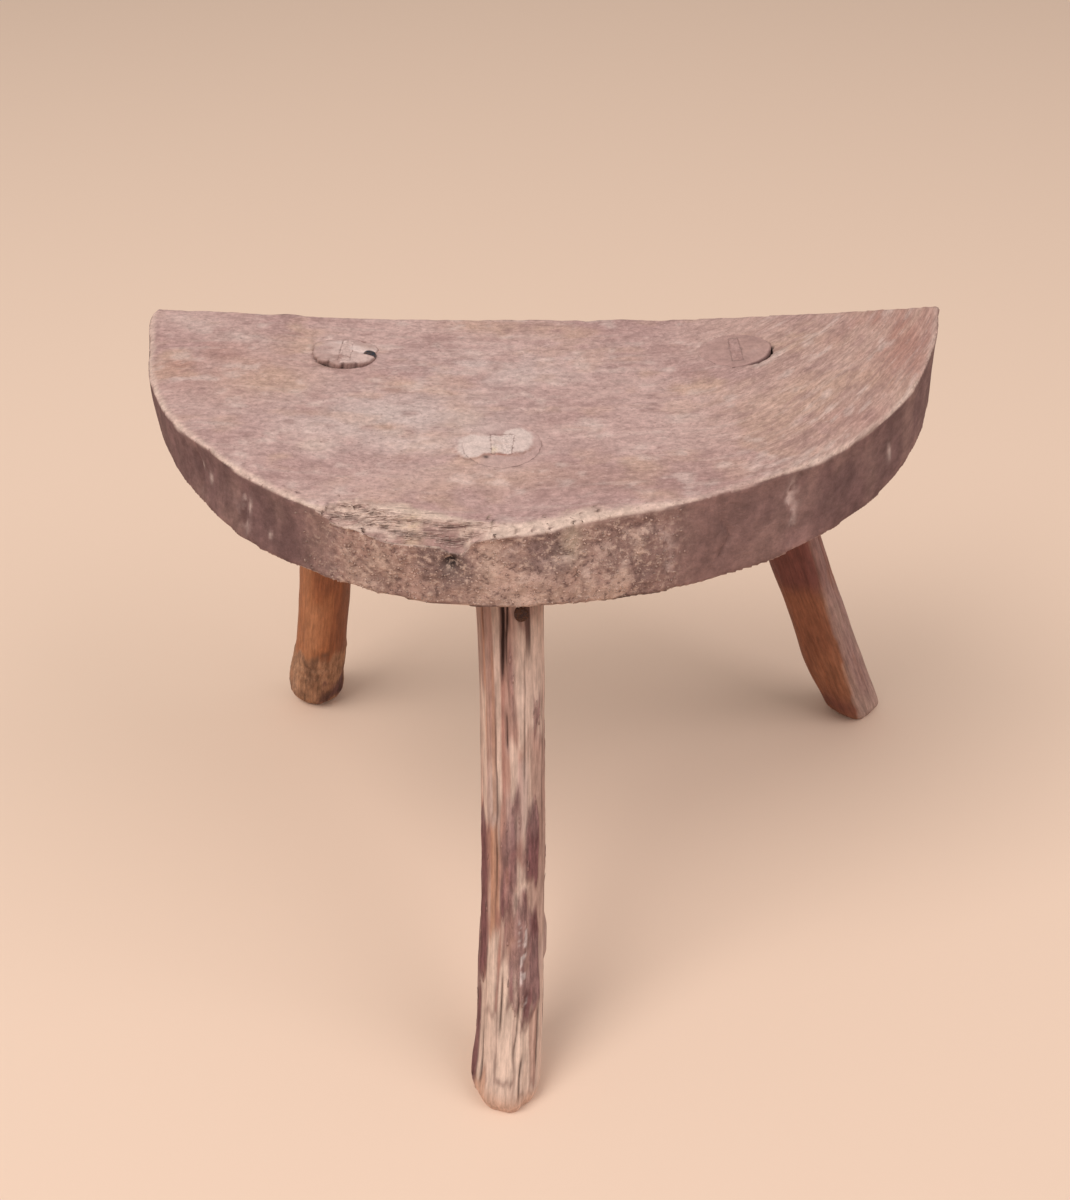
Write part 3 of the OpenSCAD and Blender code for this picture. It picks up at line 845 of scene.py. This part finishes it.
def cut_slot(leg, side):
    """Cuts the tenon open for its wedge, right up through the tenon's end."""
    end_skins[side] = skin_of(leg.data)
    wedge = add_object("slot_cutter", closed_copy("wedge_" + side))
    shape = bmesh.new()
    shape.from_mesh(wedge.data)
    shape.normal_update()
    heads = [face for face in shape.faces if face.normal.z > 0.7]
    raised = bmesh.ops.extrude_face_region(shape, geom=heads)["geom"]
    raised = [part for part in raised if isinstance(part, bmesh.types.BMVert)]
    bmesh.ops.translate(shape, vec=(0, 0, 5 * mm), verts=raised)
    bmesh.ops.delete(shape, geom=heads, context="FACES_ONLY")
    shape.to_mesh(wedge.data)
    shape.free()
    Paint(len(wedge.data.vertices), slot_dirt).lay(wedge.data)
    slot = leg.modifiers.new("slot", "BOOLEAN")
    slot.operation = "DIFFERENCE"
    slot.solver = "EXACT"
    slot.object = wedge
    apply_modifiers(leg)
    bpy.data.objects.remove(wedge)
    layer = leg.data.color_attributes["paint"]
    colours = np.zeros(4 * len(leg.data.vertices), np.float32)
    layer.data.foreach_get("color", colours)
    colours = colours.reshape(-1, 4)
    blank = colours[:, :3].min(axis=1) > 0.9
    colours[blank, :3] = slot_dirt
    layer.data.foreach_set("color", colours.ravel())


mark(leg.data, "bark_edge", 4 * bark * (1 - bark) * (1 - stick.in_seat))
cut_slot(leg, "front")
finish_piece(leg, peeled_finish, "leg_front")
front_leg, front_axis = leg, stick.top - stick.foot

# ---------------------------------------------------------------------------------------
# The rear left leg: a smooth round stick with its orange-brown inner bark, rough and dark
# towards the foot, with painted shadow low on its front. Its tenon stands proud of the seat, with a hacked
# end.
# ---------------------------------------------------------------------------------------

stick = Stick("rear_left", 230, 130)
nail_top = points_of(closed_copy("nail_rear_left"))
nail_top = nail_top[np.argmax(nail_top[:, 2])]
nail_bearing = math.degrees(math.atan2(nail_top[1] - stick.top[1], nail_top[0] - stick.top[0]))
a = stick.degrees
z = stick.z / mm
radius = (15.0 - 0.8 * np.clip(z / 228, 0, 1) - 0.7 * swell(z, 75, 45)) * mm
places = stick.straight(radius)
rough_foot = stick.strip(places, -90, 175, -20, 50, 410, 0.5)
knot = swell(z, 52, 5) * swell(a, -75, 20)
relief = 0.45 * rough(places, 18 * mm, 411, (3, 1, 1)) + 0.2 * rough(places, 3.5 * mm, 413, (8, 1, 1), 2)
relief += rough_foot * (0.5 * rough(places, 5 * mm, 415, (2, 1, 1)) + 0.3) + 1.0 * knot
relief += 1.8 * swell(z, 22, 13) * swell((a + 360) % 360 - 180, 0, 60)
relief -= 0.8 * rough_foot * (swell(z, 38, 1.6) + swell(z, 31, 1.4)) * swell(a, -110, 70)
relief -= 1.0 * stick.crack(places, 30, 40, 200, 3, 6) + 1.2 * stick.crack(places, 140, 20, 120, 3, -6)
below_seat = radius + relief * mm - foot_wear(stick, 4 * mm, 9 * mm)
radius = below_seat * (1 - stick.in_seat) + stick.tenon(14.3 * mm) * stick.in_seat
notches = swell(a, -150, 4) + 0.6 * swell(a, -121, 3) + 0.9 * swell(a, -92, 4) + 0.7 * swell(a, -66, 3)
notches += 0.5 * swell(a, 60, 8) + 0.4 * swell(a, 132, 6)
above = ramp(264, 269, z)
at_nail = swell((a - nail_bearing + 180) % 360 - 180, 0, 13)
lip = ramp(60, 100, np.abs((a + 60 + 180) % 360 - 180))
hacked = above * mm * (1.1 * rough(places, 7 * mm, 417) - 1.3 * notches - 2.2 * at_nail + 1.6 * lip)
tilt = 1.7 + 1.4 * stick.share * np.cos(np.radians(a + 112)) - 1.0 * at_nail * stick.share**4
tilt -= stick.share**8 * (0.5 + 0.35 * lip) * (1 + rough(places, 4 * mm, 418))
leg = stick.build("rear_left_leg", radius + hacked, (0, 114, 228), (0, -0.9, 0), (0, -0.3, 0), tilt * mm)

bark_orange, bark_red = (0.36, 0.135, 0.06), (0.25, 0.085, 0.04)
bark_dark, foot_tan = (0.12, 0.06, 0.04), (0.40, 0.21, 0.12)
tone = rough(places, 16 * mm, 419, (2.5, 1, 1))
paint = Paint(len(z), bark_orange)
paint.dab((0.50, 0.23, 0.12), 0.7 * swell(a, -110, 30) * ramp(-0.4, 0.6, tone))
paint.dab(bark_red, 0.8 * ramp(0, 0.7, -tone))
paint.dab((0.19, 0.065, 0.035), 0.7 * ramp(-62, -38, a) * ramp(40, -5, a))
paint.dab(bark_red, 0.6 * stick.strip(places, -35, 30, 60, 115, 421))
paint.dab((0.36, 0.20, 0.125), 0.85 * rough_foot)
# Painted shadow on the front of the foot.
paint.dab((0.11, 0.05, 0.055), 0.9 * stick.strip(places, -48, 42, 2, 28, 425) * ramp(-0.7, 0.1, -tone))
paint.dab((0.45, 0.27, 0.19), 0.6 * rough_foot * swell(a, -150, 25))
paint.dab(bark_dark, 0.5 * rough_foot * ramp(0.1, 0.7, rough(places, 9 * mm, 427, (2, 1, 1))))
paint.dab(foot_tan, 0.8 * swell(z, 20, 5) * swell(a, -65, 18) + 0.4 * rough_foot * ramp(0.2, 0.8, tone))
paint.dab(bark_dark, 0.8 * swell(z, 52, 2.5) * swell(a, -75, 10))


def paint_hacked_end(paint, places, share):
    """The colours of the rear left tenon's end, which runs on over its wedge."""
    paint.dab((0.60, 0.44, 0.415), share)
    paint.dab((0.42, 0.275, 0.255), share * ramp(-0.05, 0.5, rough(places, 5 * mm, 429)))
    paint.dab((0.72, 0.58, 0.56), 0.8 * share * ramp(0.1, 0.6, -rough(places, 6 * mm, 430)))


paint_hacked_end(paint, points_of(leg.data), stick.on_end)
blending = lip * ramp(0.35, 0.85, stick.share + 0.2 * rough(places, 6 * mm, 428))
paint.dab(weathered_top(points_of(leg.data)), 0.85 * stick.on_end * blending)
tenon_side = ramp(0.93, 1.0, stick.share) * stick.in_seat
paint.dab((0.42, 0.28, 0.255), tenon_side)
# Painted shade on the tenon's proud side: dark along its base and in the notches.
side_shade = np.clip(ramp(267.5, 264.5, z) + 0.8 * notches, 0, 0.95) * (1 - lip)
paint.dab((0.12, 0.07, 0.065), tenon_side * side_shade)
paint.lay(leg.data)
mark(leg.data, "bark", rough_foot * (1 - stick.in_seat))
bark_finish = stick_finish("smooth_bark", 0.55)
cut_slot(leg, "rear_left")
finish_piece(leg, bark_finish, "leg_rear_left")

# ---------------------------------------------------------------------------------------
# The rear right leg: a split stick, hewn to an arris that winds down its front between a
# brown face and a mauve-grey one. Its tenon is flush with the seat.
# ---------------------------------------------------------------------------------------

stick = Stick("rear_right", 230, 130)
a = stick.degrees
z = stick.z / mm
radius = 15.2 * mm * np.ones(len(z))
places = stick.straight(radius)
ridge = np.interp(z, [0, 10, 42, 78, 125, 235], [-87, -85, -77, -68, -60, -52])
turn_left, turn_right = np.radians(a - ridge + 48), np.radians(a - ridge - 46)
facing = np.maximum(np.maximum(np.cos(turn_left), np.cos(turn_right)), np.cos(np.radians(a - 90)))
flats = np.minimum(1, 0.86 / np.maximum(facing, 0.5))
relief = 0.4 * rough(places, 15 * mm, 431, (3, 1, 1)) + 0.22 * rough(places, 3.5 * mm, 433, (8, 1, 1), 2)
relief += 1.8 * swell(z, 42, 22) * swell((a + 360) % 360 - 180, 0, 50)
relief -= 1.3 * stick.crack(places, -20, 60, 180, 3, 6) + 1.0 * stick.crack(places, -120, 20, 90, 3, -4)
below_seat = radius * (0.35 + 0.65 * flats) + relief * mm - foot_wear(stick, 4 * mm, 9 * mm)
gap_side = ramp(62, 20, np.abs((a + 38 + 180) % 360 - 180))
tenon = stick.tenon(15.5 * mm) + (1.5 - 1.9 * gap_side) * mm * stick.on_end
flush = (0.12 - 0.7 * stick.share**10) * mm
radius = below_seat * (1 - stick.in_seat) + tenon * stick.in_seat
heights = (0, 30, 70, 114, 160, 200, 228)
bow_x = (0, -1.4, -2.8, -3.4, -2.8, -1.3, 0)
bow_y = (0, 0.2, 0.5, 0.6, 0.5, 0.2, 0)
leg = stick.build("rear_right_leg", radius, heights, bow_x, bow_y, flush)

brown_face, mauve_face, maroon = (0.26, 0.10, 0.056), (0.31, 0.185, 0.168), (0.15, 0.05, 0.045)
tone = rough(places, 14 * mm, 435, (3, 1, 1))
paint = Paint(len(z), brown_face)
paint.dab((0.34, 0.145, 0.08), 0.5 * ramp(0.0, 0.8, tone))
right_face = ramp(-3, 7, (a - ridge + 180) % 360 - 180 + 5 * lumps(places, 9 * mm, 437)) * ramp(160, 120, a)
paint.dab(mauve_face, right_face)
paint.dab((0.40, 0.26, 0.22), 0.6 * right_face * ramp(0, 0.7, tone))
paint.dab(brown_face, 0.6 * right_face * ramp(0.1, 0.8, -tone))
rubbed_ridge = swell(a, ridge, 5) * ramp(-0.3, 0.5, rough(places, 6 * mm, 439, (4, 1, 1)))
paint.dab((0.44, 0.28, 0.22), 0.5 * rubbed_ridge)
paint.dab(maroon, 0.9 * ramp(104, 124, z + 6 * tone) * (1 - 0.6 * right_face))
paint.dab(maroon, 0.6 * swell(z, 14, 8) * (1 - right_face))
paint.dab((0.42, 0.29, 0.25), 0.5 * right_face * ramp(30, 10, z))
paint.dab(weathered_top(points_of(leg.data)), stick.on_end)
paint.dab((0.41, 0.255, 0.24), 0.75 * stick.on_end)
# Painted shade in the gap that opened beside the tenon.
paint.dab((0.16, 0.09, 0.085), gap_side * ramp(0.95, 1.0, stick.share) * stick.in_seat)
paint.lay(leg.data)
mark(leg.data, "bark", 0.35 * right_face * (1 - stick.in_seat))
cut_slot(leg, "rear_right")
finish_piece(leg, stick_finish("hewn_stick", 0.62), "leg_rear_right")

# ---------------------------------------------------------------------------------------
# The wedges: slips of split wood, driven into the sawn ends of the tenons to spread them in
# their holes. The front one is wide and pale, and the rear ones are thin.
# ---------------------------------------------------------------------------------------


def wedge_finish(name):
    finish, tree, skin = start_finish(name)
    colour = painted(tree)
    crushed = grain_noise(tree, (2.2, 1.4, 1.4), 5, 0.7)
    fibres = grain_noise(tree, (12, 0.7, 0.7), 4, shift=3)
    colour = shade(tree, colour, crushed, 0.3, 0.7, 0.78, 1.15)
    colour = shade(tree, colour, fibres, 0.3, 0.7, 0.85, 1.1)
    dress(tree, skin, colour, crushed, 0.8, 0.5 * mm)
    return finish


wedge_wood = wedge_finish("split_wedge")
wedge_pieces = (
    ("front", 0.1 * mm, (0.67, 0.54, 0.515), (0.62, 0.48, 0.45), "pale_end_wood"),
    ("rear_left", 0.05 * mm, (0.66, 0.50, 0.475), (0.52, 0.37, 0.345), "seat_wood"),
    ("rear_right", 0, (0.43, 0.275, 0.26), (0.39, 0.24, 0.225), "seat_wood"),
)
for side, lift, pale, dirty, slot in wedge_pieces:
    wedge = even_skin(add_object(side + "_wedge", closed_copy("wedge_" + side)), 0.5 * mm)
    p = points_of(wedge.data)
    n = normals_of(wedge.data)
    tip, top_mid = tenon_axis(side)
    head = ramp(top_mid[2] - 6 * mm, top_mid[2] - 1 * mm, p[:, 2])
    up = ramp(0.3, 0.8, n[:, 2]) * head
    p = p + n * (0.12 * mm * rough(p, 2.5 * mm, 501))[:, None]
    felt = [end_skins[side].find_nearest(Vector((x, y, top_mid[2] + 4 * mm)))[0] for x, y, z in p]
    end = np.array([spot.z for spot in felt])
    p += n * (0.3 * mm * head * (1 - up))[:, None]
    p[:, 2] += head * (end + lift + 0.12 * mm * rough(p, 3 * mm, 503) - top_mid[2])
    move_points(wedge.data, p)
    lay_grain(wedge.data, p[:, 2], p[:, 0], p[:, 1])
    paint = Paint(len(p), dirty)
    paint.dab(pale, ramp(-0.5, 0.2, rough(p, 4 * mm, 505)))
    if side == "rear_left":
        paint_hacked_end(paint, p, head)
    if side == "front":
        pale_share, line = bow_tie(p)
        paint.dab(weathered_top(p), head * (1 - pale_share))
        lump = swell(np.hypot(p[:, 0] - top_mid[0] + 4.5 * mm, p[:, 1] - top_mid[1] + 4.5 * mm), 0, 2.4 * mm)
        paint.dab((0.74, 0.60, 0.47), lump)
    paint.lay(wedge.data)
    finish_piece(wedge, wedge_wood, "wedge_" + side)

# ---------------------------------------------------------------------------------------
# The nails: two hand-forged nails, one through the front of the front leg, below the seat,
# and one down beside the rear left tenon, to stop them working loose.
# ---------------------------------------------------------------------------------------


def forged_nail(node, name, skin, proud, seed):
    """A square tapered shank under a hammered head, along the CAD nail's own line. The top of
    the head is this much proud of the wood's skin."""
    corners = points_of(closed_copy(node))
    middle = corners.mean(axis=0)
    axis = np.linalg.svd(corners - middle, full_matrices=False)[2][0]
    along = (corners - middle) @ axis
    spread = np.linalg.norm(corners - middle - along[:, None] * axis, axis=1)
    if along[np.argmax(spread)] < 0:
        axis, along = -axis, -along
    head, length = middle + axis * along.max(), along.max() - along.min()
    surface = skin.ray_cast(Vector(head + 30 * mm * axis), Vector(-axis))[0]
    head = np.array(surface) + proud * axis
    head_radius, head_depth, shank = 3.1 * mm, 1.7 * mm, 1.35 * mm
    profile = [(0.0, 0.35), (0.02, 0.7), (0.08, 0.9), (0.2, 0.99), (0.5, 1.0), (0.8, 0.95), (1.0, 0.8)]
    rings = [(head_depth * s, head_radius * r, 0.0) for s, r in profile]
    for k in range(22):
        share = k / 21
        taper = 1.0 - 0.25 * share - 0.7 * ramp(0.8, 1.0, share)
        rings.append((head_depth * 1.05 + (length - head_depth * 1.05) * share, shank * taper, 1.0))
    side_one = np.array(Vector(axis).orthogonal().normalized())
    side_two = np.cross(axis, side_one)
    count = 24
    turn = np.arange(count) * 2 * math.pi / count
    square = 1 / np.maximum(np.abs(np.cos(turn)), np.abs(np.sin(turn)))
    places = []
    for deep, r, squared in rings:
        spoke = r * (1 + squared * 0.7 * (np.minimum(square, 1.25) - 1))
        ring = np.outer(spoke * np.cos(turn), side_one) + np.outer(spoke * np.sin(turn), side_two)
        places.append(head - axis * deep + ring)
    places = np.concatenate(places + [[head], [head - axis * length]])
    outward = places - (head + np.outer((places - head) @ axis, axis))
    hammered = np.outer(0.22 * mm * lumps(places, 1.6 * mm, seed + 5), axis)
    places = places + outward * (0.12 * rough(places, 2.2 * mm, seed))[:, None] + hammered
    nail = add_mesh_object(name, places.tolist(), tube_faces(len(rings), count))
    shape = bmesh.new()
    shape.from_mesh(nail.data)
    bmesh.ops.recalc_face_normals(shape, faces=shape.faces)
    shape.to_mesh(nail.data)
    shape.free()
    return nail


def iron_finish(name, metal, rust, rust_share):
    finish, tree, skin = start_finish(name, 0.6)
    scabs, pits = spots(tree, 1100.0, 4.0, 0.7), spots(tree, 2600.0, 2.0)
    rusty = between(tree, scabs, 0.62 - rust_share * 0.3, 0.72 - rust_share * 0.3)
    colour = blend(tree, rusty, metal, rust)
    colour = shade(tree, colour, pits, 0.3, 0.7, 0.6, 1.3)
    tree.links.new(between(tree, rusty, 0, 1, 0.45, 0.9), skin.inputs["Roughness"])
    skin.inputs["Metallic"].default_value = 0.35
    dress(tree, skin, colour, scabs, 0.7, 0.2 * mm)
    return finish


nail_pieces = (
    ("front", 1.3, (0.09, 0.052, 0.046), (0.15, 0.075, 0.05), 0.6),
    ("rear_left", 0.35, (0.035, 0.045, 0.065), (0.13, 0.075, 0.055), 0.45),
)
for side, proud, metal, rust, rust_share in nail_pieces:
    name = side + "_nail"
    nail = forged_nail("nail_" + side, name, end_skins[side], proud * mm, 520)
    finish_piece(nail, iron_finish("iron_" + name, metal, rust, rust_share), "nail_" + side)

# ---------------------------------------------------------------------------------------
# Splinters, crumbs and bark flakes: slivers still standing along the torn edge, crumbling
# grains of dry wood on the front wall, and scales of bark lifting off the front leg.
# ---------------------------------------------------------------------------------------


def strewing_tree():
    """Geometry nodes that strew copies of a small shape over a surface where it is marked, each
    turned along the fibres, and then make them one mesh."""
    tree = bpy.data.node_groups.new("strew along the grain", "GeometryNodeTree")
    face = tree.interface
    face.new_socket("Surface", in_out="INPUT", socket_type="NodeSocketGeometry")
    for label, kind in (
        ("Shape", "Object"), ("Mark", "String"), ("Pieces per square metre", "Float"),
        ("Smallest", "Float"), ("Largest", "Float"), ("Fibres", "Vector"), ("Turn", "Float"),
        ("Seed", "Int"), ("Finish", "Material"),
    ):
        face.new_socket(label, in_out="INPUT", socket_type="NodeSocket" + kind)
    face.new_socket("Pieces", in_out="OUTPUT", socket_type="NodeSocketGeometry")

    def add(kind, fed=(), **settings):
        """A node with these settings, its sockets fed by other nodes or holding plain values."""
        node = tree.nodes.new(kind)
        for name, value in settings.items():
            setattr(node, name, value)
        for socket, source in dict(fed).items():
            if isinstance(source, bpy.types.NodeSocket):
                tree.links.new(source, node.inputs[socket])
            else:
                node.inputs[socket].default_value = source
        return node.outputs

    given = add("NodeGroupInput")
    marked = add("GeometryNodeInputNamedAttribute", {"Name": given["Mark"]}, data_type="FLOAT")
    crowding = {0: marked["Attribute"], 1: given["Pieces per square metre"]}
    crowd = add("ShaderNodeMath", crowding, operation="MULTIPLY")[0]
    scatter = {"Mesh": given["Surface"], "Density": crowd, "Seed": given["Seed"]}
    points = add("GeometryNodeDistributePointsOnFaces", scatter)
    shape = add("GeometryNodeObjectInfo", {"Object": given["Shape"]})
    lying = {"Rotation": points["Rotation"], "Vector": given["Fibres"]}
    along = add("FunctionNodeAlignRotationToVector", lying, axis="X", pivot_axis="Z")[0]
    limits = {"Seed": given["Seed"]}
    for limit, sign in (("Min", -1), ("Max", 1)):
        corner = {0: (sign, sign, sign), "Scale": given["Turn"]}
        limits[limit] = add("ShaderNodeVectorMath", corner, operation="SCALE")[0]
    chance = add("FunctionNodeRandomValue", limits, data_type="FLOAT_VECTOR")
    jitter = add("FunctionNodeEulerToRotation", {"Euler": chance["Value"]})[0]
    turning = {"Rotation": along, "Rotate By": jitter}
    turned = add("FunctionNodeRotateRotation", turning, rotation_space="LOCAL")[0]
    sizes = {2: given["Smallest"], 3: given["Largest"], "Seed": given["Seed"]}
    size = add("FunctionNodeRandomValue", sizes, data_type="FLOAT")[1]
    placing = {"Points": points["Points"], "Instance": shape["Geometry"], "Rotation": turned, "Scale": size}
    copies = add("GeometryNodeInstanceOnPoints", placing)[0]
    real = add("GeometryNodeRealizeInstances", {0: copies})[0]
    finished = add("GeometryNodeSetMaterial", {"Geometry": real, "Material": given["Finish"]})[0]
    add("NodeGroupOutput", {"Pieces": finished})
    return tree


def small_shape(name, ridge, width, thick, lift, end_width):
    """A sliver one unit long, in four-sided rings: flat, tapered, and lifted at its far end."""
    places = []
    for k in range(ridge):
        share = k / (ridge - 1)
        w = width * (math.sin(math.pi * (0.18 + 0.7 * share)) * (1 - share) + end_width * share)
        t = thick * (1 - 0.6 * share)
        x, z = share - 0.25, lift * share**2
        places += [(x, -w, z - t), (x, w, z - t), (x, w * 0.8, z + t), (x, -w * 0.8, z + t)]
    faces = [(3, 2, 1, 0), tuple(4 * (ridge - 1) + k for k in range(4))]
    return add_mesh_object(name, places, faces + tube_faces(ridge, 4, poles=False))


def crumb_shape():
    shape = bmesh.new()
    bmesh.ops.create_icosphere(shape, subdivisions=1, radius=0.5)
    mesh = bpy.data.meshes.new("crumb")
    shape.to_mesh(mesh)
    shape.free()
    p = points_of(mesh)
    move_points(mesh, p * (1 + 0.35 * lumps(p, 0.4, 601))[:, None] * (1.3, 0.9, 0.6))
    return add_object("crumb", mesh)


def scrap_finish(name, tint):
    """Loose wood of the colour of the surface it came from, a little lighter or darker."""
    finish, tree, skin = start_finish(name)
    flecks = spots(tree, 500.0, 3.0)
    colour = shade(tree, blend(tree, 0.45, painted(tree), tint), flecks, 0.3, 0.7, 0.65, 1.3)
    dress(tree, skin, colour, flecks, 0.5, 0.2 * mm)
    return finish


leg_fibres = tuple((front_axis / np.linalg.norm(front_axis)).tolist())
strewing = strewing_tree()
splinter = small_shape("sliver", 5, 0.07, 0.03, 0.05, 0.01)
flake = small_shape("flake", 4, 0.16, 0.035, 0.08, 0.08)
strewn = (
    ("seat_splinters", seat, splinter, "ledges", 700000, (2.5, 7), (1, 0, 0), 0.14, 11,
     "torn_splinters", (0.62, 0.47, 0.42), "seat_wood"),
    ("seat_crumbs", seat, crumb_shape(), "crumbly", 170000, (0.4, 1.4), (1, 0, 0), 1.2, 12,
     "dry_crumbs", (0.50, 0.36, 0.31), "seat_wood"),
    ("front_leg_flakes", front_leg, flake, "bark_edge", 45000, (2, 5.5), leg_fibres, 0.09, 13,
     "bark_flakes", (0.36, 0.22, 0.20), "bark_leg_wood"),
)
for name, surface, shape, marked, crowd, sizes, fibres, turn, seed, wood, tint, slot in strewn:
    piece = add_object(name, surface.data.copy())
    strew = piece.modifiers.new("strew", "NODES")
    strew.node_group = strewing
    finish = scrap_finish(wood, tint)
    settings = {
        "Shape": shape, "Mark": marked, "Pieces per square metre": float(crowd),
        "Smallest": sizes[0] * mm, "Largest": sizes[1] * mm, "Fibres": fibres, "Turn": turn,
        "Seed": seed, "Finish": finish,
    }
    for socket in strewing.interface.items_tree:
        if socket.name in settings:
            strew[socket.identifier] = settings[socket.name]
    apply_modifiers(piece)
    bpy.data.objects.remove(shape)
    finish_piece(piece, finish, None)

# ---------------------------------------------------------------------------------------
# The room: a plain pale floor, a big soft window at the left and a weaker light at the right,
# and a camera that stands in front of the stool and looks down at it.
# ---------------------------------------------------------------------------------------

floor = add_mesh_object("floor", [(-8, -6, 0), (8, -6, 0), (8, 10, 0), (-8, 10, 0)], [(0, 1, 2, 3)])
finish, tree, skin = start_finish("pale floor")
skin.inputs["Base Color"].default_value = (0.83, 0.635, 0.52, 1)
skin.inputs["Roughness"].default_value = 0.9
floor.data.materials.append(finish)


def add_light(name, place, aim, size, power, colour):
    lamp = bpy.data.lights.new(name, "AREA")
    lamp.size = size
    lamp.energy = power
    lamp.color = colour
    light = bpy.data.objects.new(name, lamp)
    light.location = place
    light.rotation_euler = (Vector(aim) - Vector(place)).to_track_quat("-Z", "Y").to_euler()
    bpy.context.scene.collection.objects.link(light)


add_light("window", (-1.3, -1.0, 2.5), (0, 0, 0.15), 1.7, 49, (1.0, 0.95, 0.88))
add_light("room", (2.0, -0.9, 2.4), (0.1, 0, 0.15), 2.2, 31, (1.0, 0.94, 0.91))
world = bpy.data.worlds.new("soft room")
world.use_nodes = True
world.node_tree.nodes["Background"].inputs["Color"].default_value = (1.0, 0.93, 0.85, 1)
world.node_tree.nodes["Background"].inputs["Strength"].default_value = 0.46
bpy.context.scene.world = world
bpy.context.scene.view_settings.view_transform = "Standard"

looking_down = 37
camera_data = bpy.data.cameras.new("camera")
camera_data.sensor_fit = "AUTO"
camera_data.sensor_width = 36
camera_data.lens = 43.5
camera = bpy.data.objects.new("camera", camera_data)
camera.location = (back_mid[0] - 0.008, back_mid[1] - 0.651, 0.5832)
camera.rotation_euler = (math.radians(90 - looking_down), 0, 0)
bpy.context.scene.collection.objects.link(camera)
bpy.context.scene.camera = camera
